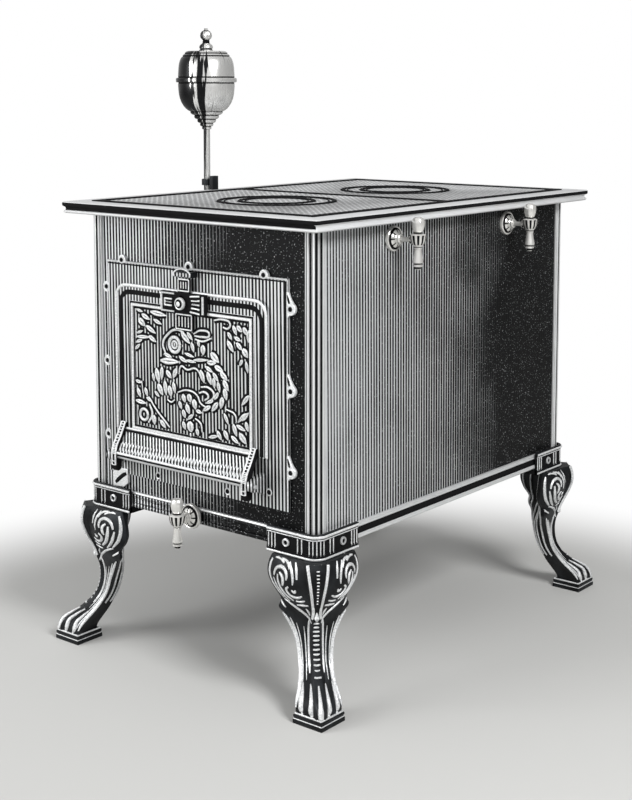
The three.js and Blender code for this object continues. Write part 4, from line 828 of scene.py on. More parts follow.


# Rings and lids. Each place takes a loose cast ring and a lid in its middle, each with a raised collar and
# a bead inside it, both painted black as shade, as are the faces just below the top. Stippled and ground
# like the hob.

ring_profile = [
    (59.4, -6), (99, -6), (100, -5.4), (100, 0.2), (99.4, 1.8), (98.6, 2.2), (94.2, 2.2), (93.4, 1.8),
    (92.8, 0), (88.6, 0), (88.2, 1), (87.8, 1.2), (86.6, 1.2), (86.2, 1), (85.8, 0), (66.4, 0), (66, -0.6),
    (65.6, -3.3), (59.4, -3.3),
]
lid_profile = [
    (0, -6), (58.6, -6), (59, -5.6), (59, -3), (64.4, -3), (65, -2.4), (65, 0.2), (64.4, 1.8), (63.6, 2.2),
    (59.4, 2.2), (58.6, 1.8), (58, 0), (54.2, 0), (53.8, 1), (53.4, 1.2), (52.2, 1.2), (51.8, 1), (51.4, 0),
    (0, 0),
]
for place_name, sign in (("front", -1), ("rear", 1)):
    for kind, profile in (("ring", ring_profile), ("lid", lid_profile)):
        disc = turned(profile, 96, 25)
        disc.data.transform(Matrix.Translation((0, sign * ring_place, hob_top)))
        old = f"hob_ring_{place_name}" if kind == "ring" else f"ring_lid_{place_name}"
        settled(disc, f"{kind}_{place_name}", ground_iron, f"{place_name}_{kind}", "hob_iron", old)
        # Painted shade: the collar, the bead and the faces just below the top are painted black
        blackened(disc, lambda middle, normal: middle.z > hob_top + 0.1
                  or hob_top - 4 < middle.z < hob_top - 0.1)


# Burners and pipes inside. Brass wicks' heads and bent brass tube that feed them from the reservoir; they
# are seen through the oven mouth, the places in the hob and from below, and keep the frame's own shapes.

# Drawn and spun brass, browned by heat: warm yellow going brown in clouds 30 mm wide, satin.
heated_brass, tree, place = blank("heated_drawn_brass")
cloud = noise(tree, place, 33, 4)
scuff = noise(tree, place, 600, 2)
tone = mixed(tree, cloud, "#6f5630", "#b89a5c")
gloss = ranged(tree, scuff, 0, 1, 0.25, 0.5)
height = bumped(tree, scuff, 0.12, 0.0004)
surfaced(tree, {"Metallic": 1.0}, tone, height, gloss)
for name in ("burner_front", "burner_rear", "burner_oven", "manifold_pipe", "oven_feed_pipe"):
    finished(name, heated_brass)


# Door frame. A flat cast frame bolted over the front sheet, with ears for its screws, two lugs that carry
# the hinge rod and a tab below. Cast iron combed and waxed, its edge, ears, tab and screws rubbed bright and
# painted pale as a highlight, with painted shade in black lines and in the middle of each screw.

# Cast plates filed flat and combed upright: pale iron with dark scratched lines 7 mm apart, waxed, and a grey
# bloom in clouds 60 mm wide. The ground of the relief is the same iron, its lines filled with more black.
combed = {}
for kind, low, high in (("plate", 0.73, 0.93), ("ground", 0.84, 1.06)):
    combed_cast, tree, place = blank(f"combed_cast_{kind}")
    comb = combed_lines(tree, place, 90)
    cloud = noise(tree, place, 16, 4)
    share = worked(tree, "MULTIPLY_ADD", cloud, 0.5, comb)
    reach = ranged(tree, share, low, high)
    tone = mixed(tree, reach, "#0c0d0e", "#d0d2d3")
    gloss = ranged(tree, cloud, 0, 1, 0.34, 0.52)
    height = bumped(tree, comb, 0.2, 0.0004)
    surfaced(tree, {"Metallic": 0.4, "Specular IOR Level": 0.15}, tone, height, gloss)
    combed[kind] = combed_cast

frame_left = -204
frame_right = 188
frame_foot = 300
frame_top = 655
frame_back = -355.5
frame_face = -360.5
mouth = (-167, 133, 388, 603)
rod_level = 336
rod_y = -385.5
door_middle = -17
cheek_span = 286


def arc(cx, cy, radius, start, end, steps):
    """Points of an arc between two angles in degrees"""
    return [
        (cx + radius * math.cos(math.radians(start + (end - start) * k / steps)),
         cy + radius * math.sin(math.radians(start + (end - start) * k / steps)))
        for k in range(steps + 1)
    ]


def bent(a, b, c, steps=8):
    """Points of a curve from a to c that leans to b"""
    return [
        tuple((1 - t) ** 2 * p + 2 * t * (1 - t) * q + t ** 2 * r for p, q, r in zip(a, b, c))
        for t in (k / steps for k in range(steps + 1))
    ]


def oblong(x0, x1, z0, z1):
    """The corners of an upright rectangle"""
    return [(x0, z0), (x1, z0), (x1, z1), (x0, z1)]


def facing(points, y_back, depth, edge=0.0):
    """An outline in (x, z) drawn out toward the front"""
    return extruded([(x, y_back, z) for x, z in points], (0, -depth, 0), edge)


ear_depth = 5.4


def ear(x, z, outline):
    """An ear of the frame from its outline about a place"""
    return facing([(x + right, z + up) for right, up in outline], frame_back, ear_depth, 1)


plate = facing(oblong(frame_left, frame_right, frame_foot, frame_top), frame_back, frame_back - frame_face)
cut_by(plate, facing(oblong(*mouth), frame_back + 9, 30))
frame_pieces = [plate]
ears = []
right_ears = [609.9, 485.7, 361.1]
for level in right_ears:
    tear = [(0, 26), (4, 16), (9, 9)] + arc(5, 0, 9.5, 45, -100, 9) + [(0, -13), (-3, -13), (-3, 26)]
    ears.append(ear(frame_right, level, tear))
    ears.append(ear(frame_left, level, arc(-1.5, 0, 9, 55, 305, 10)))
for middle in (-168.7, -17, 140.2):
    ears.append(ear(middle, frame_top + 1.5, arc(0, 0, 9, -30, 210, 10)))
for sign in (-1, 1):
    lug = bent((27.5, 16), (10, 13.6), (0, 8.5)) + arc(0, 0, 8.5, 90, 270, 10)[1:]
    lug += bent((0, -8.5), (13.6, -8.5), (27.5, -21))[1:]
    start = door_middle + sign * (cheek_span / 2 + 5.4) - (12 if sign < 0 else 0)
    block = extruded([(start, rod_y + y, rod_level + z) for y, z in lug], (12, 0, 0), 1.2)
    frame_pieces.append(cut_by(block, rod((-220, rod_y, rod_level), (220, rod_y, rod_level), 4.3)))
front_frame = joined(*frame_pieces)
settled(smoothed(front_frame), "door_surround", combed["plate"], "stove", "cast_iron", "door_frame")

# The frame's outer edge, each right-hand ear and the slotted tab at the left foot are rubbed bright and
# painted pale as a highlight
edge_y = frame_face + 0.2
edge_lines = [[(frame_left + 1, edge_y, frame_foot + 8, 0.9), (frame_left + 1, edge_y, frame_top - 1, 0.9)],
              [(frame_left + 1, edge_y, frame_top - 1.2, 1.5),
               (frame_right - 1, edge_y, frame_top - 1.2, 1.5)],
              [(frame_right - 1, edge_y, frame_top - 1, 0.9), (frame_right - 1, edge_y, frame_foot + 1, 0.9)]]
settled(joined(drawn(edge_lines), *ears), "frame_edge", rubbed_and_highlit_relief, "stove", "cast_iron")
shade_lines = drawn([[(frame_right - 4.2, 0, frame_top - 4, 1.7),
                      (frame_right - 4.2, 0, frame_foot + 3, 1.7)],
                     [(frame_left + 3, 0, frame_top - 4.6, 1.4), (frame_right - 3, 0, frame_top - 4.6, 1.4)]])
settled(pressed(shade_lines, frame_face, 0.2), "frame_edge_shade", black_lead_and_shade, "stove", "cast_iron")
tab = facing([(-196, 299), (-184, 306), (-160, 308), (-160, 284), (-170, 276), (-196, 274)], frame_back - 0.2,
             6.2, 1)
settled(tab, "frame_tab", rubbed_and_highlit_relief, "stove", "cast_iron")
# Painted shade: the tab's slot is a flat black stroke laid on the tab
slot = drawn([[(-189, 0, 281, 2.8), (-184, 0, 285.5, 4), (-169, 0, 297, 4), (-163, 0, 300, 2.8)]])
settled(pressed(slot, frame_back - 6.3, 0.15), "tab_slot_shade", black_lead_and_shade, "stove", "cast_iron")
# Painted shade: a flat black hook on each right-hand ear
ear_hook_shades = drawn([[(frame_right - 1, 0, level + 21, 0.9), (frame_right + 1, 0, level + 15, 2.2),
                  (frame_right + 2.5, 0, level + 9.5, 2), (frame_right + 2.5, 0, level + 8, 1.2)]
                 for level in right_ears])
settled(pressed(ear_hook_shades, frame_back - ear_depth, 0.25), "ear_shade", black_lead_and_shade, "stove", "cast_iron")

to_front = Matrix.Rotation(math.pi / 2, 4, "X")
to_right = Matrix.Rotation(math.pi / 2, 4, "Y")
screws = []
screw_places = [(frame_right + 5, z) for z in right_ears] + [(frame_left - 1.5, z) for z in right_ears]
screw_places += [(-168.7, 657), (-17, 657), (140.2, 657), (-89, 309), (64, 310), (150, 324)]
for x, z in screw_places:
    head = turned([(0, 1.9), (2, 1.7), (3.4, 1.1), (3.9, 0.3), (4.1, 0.2), (5.2, 0.8), (6, 0.2), (6, -0.3),
                   (0, -0.3)], 20)
    head.data.transform(Matrix.Translation((x, frame_face - 0.4, z)) @ to_front)
    screws.append(head)
screws = settled(joined(*screws), "frame_screws", rubbed_and_highlit_relief, "stove", "bright_steel")
# Painted shade: the middle of each screw head is painted black
blackened(screws, lambda middle, normal: any(math.hypot(middle.x - x, middle.z - z) < 3.7
                                             for x, z in screw_places))

hinge = turned([(0, -162.5), (2.6, -162.4), (3.6, -161), (4, -158.5), (4, 158.5), (3.6, 161), (2.6, 162.4),
                (0, 162.5)], 24)
hinge.data.transform(Matrix.Translation((door_middle, rod_y, rod_level)) @ to_right)
settled(hinge, "hinge_bar", filed_steel, "stove", "bright_steel", "hinge_rod")


# Door leaf. A cast plate with round shoulders and a rolled rim, a framed panel in relief, a curved apron
# at its foot and two cheeks that turn on the rod. Combed like the frame, its rim and relief rubbed bright and
# painted pale as a highlight, and painted black as shade beside its rim, mould and relief, on its apron
# and its cheeks.

leaf_back = -360.8
leaf_face = -365.8
leaf_left = -180
leaf_right = 152
leaf_foot = 376
leaf_top = 620
leaf_round = 25
leaf_outline = [(leaf_left, leaf_foot), (leaf_right, leaf_foot)]
leaf_outline += arc(leaf_right - leaf_round, leaf_top - leaf_round, leaf_round, 0, 90, 8)
leaf_outline += arc(leaf_left + leaf_round, leaf_top - leaf_round, leaf_round, 90, 180, 8)
leaf_plate = facing(leaf_outline, leaf_back, leaf_back - leaf_face, 0.8)

rim_half = 2.6
rim_path = [(leaf_left + rim_half, leaf_foot + up) for up in (2, 80, 160)]
rim_path += arc(leaf_left + leaf_round, leaf_top - leaf_round, leaf_round - rim_half, 180, 90, 6)
rim_path += [(x, leaf_top - rim_half) for x in (-90, door_middle, 60)]
rim_path += arc(leaf_right - leaf_round, leaf_top - leaf_round, leaf_round - rim_half, 90, 0, 6)
rim_path += [(leaf_right - rim_half, leaf_foot + up) for up in (160, 80, 2)]
rim = pressed(drawn([[(x, 0, z, rim_half) for x, z in rim_path]], sides=2), leaf_face, 0.6)
# Painted shade: a flat black band just inside the rim
rim_shade_shift = (leaf_left + leaf_right) / 2 * 0.06
rim_inner = drawn([[(rim_shade_shift + x * 0.94, 0, leaf_foot + (z - leaf_foot) * 0.955, 4)
                    for x, z in rim_path]])
settled(pressed(rim_inner, leaf_face, 0.12), "leaf_rim_shade", black_lead_and_shade, "door", "cast_iron")

mould_middle = -10
mould_half_x = 135
mould_low = 377
mould_high = 593
mould_steps = [
    (0, 2), (0, -0.2), (0.4, -0.7), (3.6, -0.7), (4, -1.4), (4.6, -2.6), (6, -3), (7.4, -2.6), (8, -1.2),
    (8.4, -0.7), (12, -0.7), (12.2, 2),
]
mould_level = (mould_low + mould_high) / 2
mould_half_z = (mould_high - mould_low) / 2
mould = lofted([
    [(mould_middle + sx * (mould_half_x - step), leaf_face + y, mould_level + sz * (mould_half_z - step))
     for sx, sz in oblong(-1, 1, -1, 1)]
    for step, y in mould_steps
])
settled(joined(mould, rim), "leaf_mould", rubbed_and_highlit_relief, "door", "cast_iron")
# Painted shade: the flat landings on each side of the mould's bead are painted black
blackened(mould, lambda middle, normal: leaf_face - 0.9 < middle.y < leaf_face - 0.5 and normal.y < -0.9
          and abs(middle.x - mould_middle) < mould_half_x + 1)

cheek_half = 7
cheek_tail = 25 - 0.3 - cheek_half
cheek_rise = leaf_foot - rod_level
cheek_back = leaf_face - rod_y
cheek_outline = [(cheek_back + 2.5, cheek_rise + 14), (cheek_back - 3.5, cheek_rise + 14)]
cheek_outline += bent(cheek_outline[-1], (cheek_back * 0.45, cheek_rise * 0.95),
                      (-2.45, cheek_rise * 0.5))[1:]
cheek_outline += bent((-2.45, cheek_rise * 0.5), (-cheek_half, cheek_rise * 0.25), (-cheek_half, 0))[1:]
cheek_outline += arc(0, -cheek_tail, cheek_half, 180, 360, 10)
cheek_outline += bent((cheek_half, 0), (7.7, cheek_rise * 0.35), (cheek_back * 0.75, cheek_rise * 0.75))
cheek_outline += bent(cheek_outline[-1], (cheek_back, cheek_rise * 0.95), (cheek_back + 2.5, cheek_rise))[1:]
leaf_pieces = [leaf_plate]
for sign in (-1, 1):
    start = door_middle + sign * cheek_span / 2 - 5
    cheek = extruded([(start, rod_y + y, rod_level + z) for y, z in cheek_outline], (10, 0, 0), 0.8)
    leaf_pieces.append(cut_by(cheek, rod((start - 9, rod_y, rod_level), (start + 19, rod_y, rod_level), 4.3)))
apron_back = leaf_back - rod_y
apron_outer = bent((apron_back - 5, cheek_rise + 7), (apron_back * 0.35, cheek_rise * 0.65), (-4, 6.2), 12)
apron_inner = bent((0, 4.4), (apron_back * 0.55, cheek_rise * 0.5), (apron_back, cheek_rise - 1.75), 12)
apron_outline = [(apron_back, cheek_rise + 7)] + apron_outer + [(-4, 4.4)] + apron_inner
half = cheek_span / 2
leaf_pieces.append(extruded([(door_middle - half, rod_y + y, rod_level + z) for y, z in apron_outline],
                            (half * 2, 0, 0)))
leaf = settled(smoothed(joined(*leaf_pieces)), "leaf_plate", combed["plate"], "door", "cast_iron",
               "door_leaf")
# Painted shade: the cheeks and the apron's end faces are painted black
blackened(leaf, lambda middle, normal: middle.y < leaf_face - 0.6 and (
    abs(normal.x) > 0.8 or abs(abs(middle.x - door_middle) - cheek_span / 2) < 5.3))
leaf.data.materials.append(combed["ground"])
for face in leaf.data.polygons:
    if face.material_index == 0 and face.center.y * 1000 < leaf_face - 0.6:
        face.material_index = 2

# The apron's flutes and lips, and on each cheek two ribs with rungs between them
flute_gaps = 40
flutes = []
low_edge = [apron_outer[k] for k in (7, 8, 10, 11)]
for k in range(flute_gaps + 1):
    x = door_middle - half + 8 + k * (half * 2 - 16) / flute_gaps
    flutes.append([(x, rod_y + y - 0.2, rod_level + z + 0.2, wide)
                   for (y, z), wide in zip(low_edge, (0.2, 0.9, 1, 0.4))])
for y, z, wide in ((apron_outer[-1][0], apron_outer[-1][1] - 0.5, 2.3), (*apron_outer[1], 2)):
    flutes.append([(door_middle + share * (half - 5), rod_y + y, rod_level + z, wide)
                   for share in (-1, -0.5, 0, 0.5, 1)])
for sign in (-1, 1):
    middle = door_middle + sign * half
    spine = [(y, z) for y, z in cheek_outline[1:16]] + [(-cheek_half, -8), (-cheek_half, -14)]
    for side in (-4, 4):
        flutes.append([(middle + side, rod_y + y, rod_level + z, 1.5) for y, z in spine[::2]])
    for y, z in spine:
        flutes.append([(middle - 3.6, rod_y + y, rod_level + z, 0.9),
                       (middle + 3.6, rod_y + y, rod_level + z, 0.9)])
settled(drawn(flutes), "apron_relief", rubbed_and_highlit_relief, "door", "cast_iron")
# Painted shade: two black lines along the apron
apron_shade_lines = [[(door_middle + share * (half - 5), rod_y + y, rod_level + z, 2) for share in (-1, 0, 1)]
         for y, z in (apron_outer[2], (apron_outer[-1][0] - 0.2, apron_outer[-1][1] - 3.4))]
settled(drawn(apron_shade_lines), "apron_painted_shade", black_lead_and_shade, "door", "cast_iron")

ground_half = mould_half_x - 12
ground_edge = oblong(mould_middle - ground_half, mould_middle + ground_half, mould_low + 12, mould_high - 12)
ground = facing(ground_edge, leaf_face + 1, 1.3)
settled(ground, "leaf_ground", combed["ground"], "door", "cast_iron")


def leaf_blades(x0, z0, x1, z1, wide):
    """A leaf in relief from its foot to its tip: two swelling blades that meet in a vein"""
    side = Vector((z0 - z1, x1 - x0)).normalized()
    return [
        [(x0 + (x1 - x0) * along + side.x * sign * wide * out,
          z0 + (z1 - z0) * along + side.y * sign * wide * out, wide * thick)
         for along, out, thick in ((0, 0.1, 0.22), (0.3, 0.5, 0.5), (0.65, 0.46, 0.46), (1.02, 0.06, 0.12))]
        for sign in (-1, 1)
    ]


def ring_of(x, z, radius, thick):
    """A round bead in relief"""
    return [(x + radius * math.cos(math.tau * k / 8), z + radius * math.sin(math.tau * k / 8), thick)
            for k in range(9)]


# The leaves, each from foot to tip with its half width: the four corner sprays, then the wreath and the
# crescent on its right
leaves = [
    (-129, 580, -115, 577, 2.5), (-97, 579, -62, 576, 4.3), (-117, 573, -99, 566, 3.9),
    (-124, 565, -110, 555, 5.4), (-107, 555, -86, 545, 4.0), (-128, 541, -115, 546, 2.4),
    (-129, 535, -99, 537, 3.0), (-130, 526, -117, 531, 2.8), (-101, 539, -85, 531, 3.9),
    (-133, 514, -122, 523, 2.8), (-90, 567, -72, 561, 3.2), (83, 575, 90, 561, 3.8), (91, 575, 101, 567, 4.0),
    (104, 574, 113, 563, 4.3), (116, 571, 114, 552, 4.2), (72, 563, 80, 553, 3.4), (86, 557, 98, 553, 3.4),
    (71, 550, 83, 534, 4.4), (90, 549, 101, 539, 3.9), (103, 541, 113, 529, 5.4), (102, 524, 96, 514, 3.0),
    (109, 522, 113, 505, 3.3), (-133, 462, -119, 460, 2.9), (-129, 450, -122, 436, 3.9),
    (-111, 453, -106, 439, 3.5), (-133, 429, -110, 427, 3.6), (-108, 437, -95, 432, 3.1),
    (-92, 410, -90, 395, 4.7), (-77, 404, -65, 393, 4.0), (115, 470, 100, 453, 3.7), (63, 435, 72, 419, 3.2),
    (108, 441, 92, 425, 3.2), (100, 429, 114, 443, 3.6), (108, 428, 113, 414, 3.8), (82, 421, 89, 403, 4.2),
    (89, 420, 107, 414, 3.4), (95, 408, 109, 394, 5.3), (63, 408, 71, 394, 4.2), (48, 405, 57, 392, 3.9),
    (30, 392, 50, 397, 2.9), (78, 401, 93, 392, 3.8), (-28, 553, -10, 537, 4.9), (-15, 554, -4, 543, 3.5),
    (-6, 539, -1, 524, 3.7), (8, 543, 11, 534, 3.1), (19, 537, 19, 522, 5.2), (-21, 520, -1, 516, 2.6),
    (-2, 511, 30, 515, 2.6), (-18, 509, 3, 508, 2.4), (36, 527, 52, 514, 6.0), (-33, 513, -16, 506, 3.4),
    (-75, 502, -35, 504, 5.4), (-67, 514, -50, 510, 3.2), (-85, 488, -79, 465, 5.1),
    (-72, 492, -73, 471, 3.9), (-62, 487, -51, 476, 4.4), (-39, 493, -47, 477, 4.4),
    (-93, 479, -90, 466, 3.1), (-81, 463, -71, 446, 5.3), (-66, 470, -63, 447, 4.3),
    (-56, 463, -52, 446, 5.0), (-47, 470, -43, 453, 3.8), (-89, 450, -79, 442, 2.9), (13, 497, 21, 478, 4.7),
    (28, 496, 36, 477, 4.7), (41, 488, 43, 472, 3.7), (-26, 453, -21, 441, 4.5), (-13, 455, -9, 443, 5.2),
    (-2, 448, 2, 433, 5.2), (-18, 438, -12, 424, 4.8), (3, 431, 15, 429, 3.3), (-26, 428, -21, 416, 4.1),
    (-4, 423, -16, 414, 3.1), (-34, 441, -29, 429, 3.6), (-11, 411, -8, 395, 7.0), (-26, 409, -21, 397, 3.8),
    (4, 402, 7, 391, 3.7), (28, 511, 46, 512, 4.2), (44, 507, 61, 501, 4.6), (56, 499, 70, 488, 4.8),
    (62, 487, 72, 472, 4.8), (64, 474, 68, 457, 4.8), (60, 460, 56, 442, 4.8), (50, 450, 37, 435, 4.4),
    (34, 442, 18, 433, 3.8), (24, 504, 39, 497, 3.4), (40, 496, 51, 484, 3.6), (50, 483, 54, 467, 3.6),
    (51, 466, 43, 454, 3.4), (40, 452, 25, 446, 3),
]
spray_strokes = [stroke for leaf_line in leaves for stroke in leaf_blades(*leaf_line)]

# Stems, scrolls and ribbons with their half widths
stems = [
    (1.9, ((43, 579), (62, 582), (77, 577), (72, 569), (62, 570))), (1.6, ((-119, 463), (-116, 443))),
    (2.4, ((-101, 426), (-95, 412), (-104, 396))), (1.7, ((-103, 439), (-87, 421), (-64, 402), (-56, 395))),
    (1.7, ((68, 442), (86, 436), (89, 425))),
    (2.2, ((-63, 514), (-69, 530), (-58, 546), (-39, 556), (-22, 553))),
    (1.9, ((-1, 553), (15, 560), (33, 555), (17, 550), (1, 550))), (1.8, ((2, 545), (18, 543), (37, 550))),
    (2.0, ((14, 470), (31, 471), (42, 461), (32, 449))), (2.0, ((10, 460), (22, 463), (30, 457), (22, 450))),
    (1.8, ((1, 418), (13, 411), (16, 398))),
    (1.6, ((-37, 455), (-17, 461), (5, 456), (13, 444), (29, 438))),
    (1.7, ((-34, 485), (-29, 498), (-16, 494), (3, 498), (13, 490))),
    (1.6, ((-60, 440), (-52, 437), (-44, 442))),
]
for thick, line in stems:
    spray_strokes.append([(x, z, thick * (0.7 if k in (0, len(line) - 1) else 1))
                          for k, (x, z) in enumerate(line)])
# The rose above on the left, a ring at the left foot, and three round bosses
spray_strokes += [ring_of(-43, 531, 12, 3), ring_of(-43, 531, 5.5, 2), ring_of(-114, 408, 9, 2.6)]
bosses = ((-43, 531), (-114, 408), (-9, 389.8))
spray_strokes += [[(x - 1, z, 2), (x, z, 3.6), (x + 1, z, 2)] for x, z in bosses]
spray = drawn([[(x, 0, z, radius) for x, z, radius in stroke] for stroke in spray_strokes])
settled(pressed(spray, leaf_face - 0.5, 0.62), "leaf_spray", rubbed_and_highlit_relief, "door", "cast_iron")

# Painted shadow: a flat black bed round each stroke of the relief
spray_shadow_bed = drawn([[(x, 0, z, radius + 4.5) for x, z, radius in stroke] for stroke in spray_strokes])
settled(pressed(spray_shadow_bed, leaf_face - 0.3, 0.07), "leaf_spray_painted_shadow", black_lead_and_shade, "door", "cast_iron")


# Latch. A slide of bright steel in a cast guide on the door, with a turned knob in front and a staple on
# the frame that takes its tip. The guide is ribbed and the slide fluted; the slide is painted black as shade
# under its bright flutes, and the guide is black, partly for its black lead and partly as painted shade.

strap_back = -369.1
strap_face = -372.1
guide_face = -375.5
latch_level = 600.8
strap_low = 557
strap_high = 640
strap_outline = [
    (-19, strap_low), (19, strap_low), (19, 608), (16, 611), (13, 612.8), (13, strap_high), (-13, strap_high),
    (-13, 612.8), (-16, 611), (-19, 608),
]
strap = facing([(door_middle + x, z) for x, z in strap_outline], strap_back, 3, 0.5)
# Painted shade: the steel slide is painted black all over
settled(strap, "latch_slide", black_lead_and_shade, "latch", "bright_steel", "latch_bolt")

latch_lines = []
for x0, x1, z0, z1 in ((-17, 17, 559, 582.5), (-11.5, 11.5, 620, 638.4)):
    corner_points = oblong(x0, x1, z0, z1)
    for a, b in zip(corner_points, corner_points[1:] + corner_points[:1]):
        latch_lines.append([(door_middle + a[0], 0, a[1], 1.2), (door_middle + b[0], 0, b[1], 1.2)])
for k in range(4):
    latch_lines.append([(door_middle - 10.2 + k * 6.8, 0, level, 1.1) for level in (563, 579)])
for k in (-1, 0, 1):
    latch_lines.append([(door_middle + k * 5.5, 0, level, 1) for level in (624, 634.5)])
fluting = drawn(latch_lines)
settled(pressed(fluting, strap_face, 0.22), "latch_fluting", rubbed_and_highlit_relief, "latch", "bright_steel")

knob_profile = [
    (0, 13.4), (2.4, 13.2), (4, 12.4), (4.6, 10.8), (6.2, 10.4), (7.2, 10.8), (8.6, 11.2), (9.8, 9.8),
    (10, 7), (9.4, 5.6), (8, 5), (4.4, 4.9), (4, 4.6), (4, 0), (0, 0),
]
knob = turned(knob_profile, 32)
knob.data.transform(Matrix.Translation((door_middle, strap_face - 0.3, latch_level)) @ to_front)
knob = settled(knob, "latch_boss", rubbed_and_highlit_relief, "latch", "nickel", "latch_knob")
# Painted shade: the knob's back and the groove round its middle are painted black
blackened(knob, lambda middle, normal: middle.y > strap_face - 5.4
          or 4 < math.hypot(middle.x - door_middle, middle.z - latch_level) < 7.4)

# The guide's black: partly the black lead of its iron, partly painted shade
finished("latch_guide", black_lead_and_shade)
guide_lines = []
guide_ribs = [
    (-45, 587, -45, 615, 2), (-45, 614.8, -17, 614.8, 1.5), (-45, 586.6, -17, 586.6, 1.5),
    (-38, 606, -22, 606, 1.4), (-38, 600.8, -22, 600.8, 1.4), (-38, 595.5, -22, 595.5, 1.4),
    (-38, 595, -38, 606.4, 1.4), (45, 587, 45, 615, 2), (18, 613, 38, 615, 1.5), (21, 607, 38, 608, 1.5),
    (22, 601, 38, 601, 1.5), (21, 595, 38, 594, 1.5), (18, 589, 38, 587, 1.5),
]
for x0, z0, x1, z1, thick in guide_ribs:
    guide_lines.append([(door_middle + x0, guide_face, z0, thick), (door_middle + x1, guide_face, z1, thick)])
settled(drawn(guide_lines), "guide_ribs", rubbed_and_highlit_relief, "door", "cast_iron")

keeper_back = -360.8
keeper_hollow = -372.5
keeper_inner = 13.8
keeper_outer = 19.8
keeper_face = -375.5
keeper_outline = [
    (-keeper_outer, keeper_back), (-keeper_outer, keeper_face), (keeper_outer, keeper_face),
    (keeper_outer, keeper_back), (keeper_inner, keeper_back), (keeper_inner, keeper_hollow),
    (-keeper_inner, keeper_hollow), (-keeper_inner, keeper_back),
]
staple = extruded([(door_middle + x, y, 642) for x, y in keeper_outline], (0, 0, 9), 1)
settled(staple, "latch_staple", black_leaded, "stove", "cast_iron", "latch_keeper")
staple_rim = ((-17, 643), (-17, 649.2), (17, 649.2), (17, 643))
staple_lines = [[(door_middle + x, keeper_face, z, 1.5) for x, z in staple_rim]]
staple_lines += [[(door_middle + x, keeper_face, z, 1.3) for z in (643, 649)] for x in (-10, -3.5, 3.5, 10)]
settled(drawn(staple_lines), "staple_lip", rubbed_and_highlit_relief, "stove", "cast_iron")


# Taps. Two on the right side for the hob and one below the door for the oven: a petalled rosette screwed
# to the body, a spindle and a lever with a barrel lobe above and a tapered grip below. Nickel-plated brass,
# painted black as shade in the rosette's groove, in wedges between its petals and in the lever's waists and
# flutes.

# Nickel plate: a warm pale silver, bright, with fine polishing swirls about 1 mm apart and a slight bloom
# every 25 mm.
nickel_plate, tree, place = blank("polished_nickel_plate")
swirl = noise(tree, place, 900, 2)
bloomed = noise(tree, place, 40, 4)
tone = mixed(tree, bloomed, "#d2d1cd", "#f0efec")
gloss = ranged(tree, bloomed, 0, 1, 0.14, 0.32)
height = bumped(tree, swirl, 0.06, 0.0002)
surfaced(tree, {"Metallic": 0.6}, tone, height, gloss)

rosette_profile = [
    (4.5, 17), (7, 17), (8, 16.2), (8, 12.4), (8.8, 11.6), (8, 10.8), (9, 10.4), (11.6, 9.6), (14.2, 7.4),
    (15.4, 5), (15.8, 3.4), (16.6, 3.4), (17.2, 5.2), (18.4, 6), (19.8, 5), (20.5, 3), (20.5, 0.6), (20, 0),
    (4.5, 0),
]
rosette = turned(rosette_profile, 64, 30)
lever_profile = [
    (0, 36), (4, 35.8), (7.6, 34.4), (9.8, 31.5), (10.6, 27.5), (10.2, 22), (8.8, 16.5), (7.2, 13),
    (6.4, 11.6), (7.4, 10.6), (11.4, 9.8), (12.8, 8.4), (13, 5.6), (12.6, 2), (11.4, -2.6), (9.2, -6.8),
    (6.6, -9.8), (5.6, -11), (6.4, -11.8), (6.4, -13), (5.6, -14.2), (6.2, -20), (7.4, -27), (8.4, -32),
    (8.6, -34), (7.6, -35.2), (5, -35.8), (5, -37), (7.4, -37.8), (7.8, -40.4), (5.4, -41.4), (4.4, -42.4),
    (4.8, -44), (3.4, -45.6), (0, -46),
]
lever_hollows = ((10.8, 12.6), (-11.2, -9.2), (-37, -35.2), (-44.5, -41.6))
lever = turned(lever_profile, 40, 30)
for vertex in lever.data.vertices:
    if -9 < vertex.co.z < 7.2 or 14 < vertex.co.z < 32:
        angle = math.atan2(vertex.co.y, vertex.co.x)
        share = 1 - 0.08 * abs(math.sin(angle * 5)) * (1 if vertex.co.z < 8 else 0.5)
        vertex.co.x *= share
        vertex.co.y *= share
socket = turned([(4.4, -16), (5.8, -16), (6.5, -15), (6.5, -12.8), (5.8, -12), (5.8, -10.6), (6.6, -9.8),
                 (6.6, -6), (4.4, -6)], 32)
socket.data.transform(to_right)
handle = joined(lever, socket)

pipe_level = 703.5
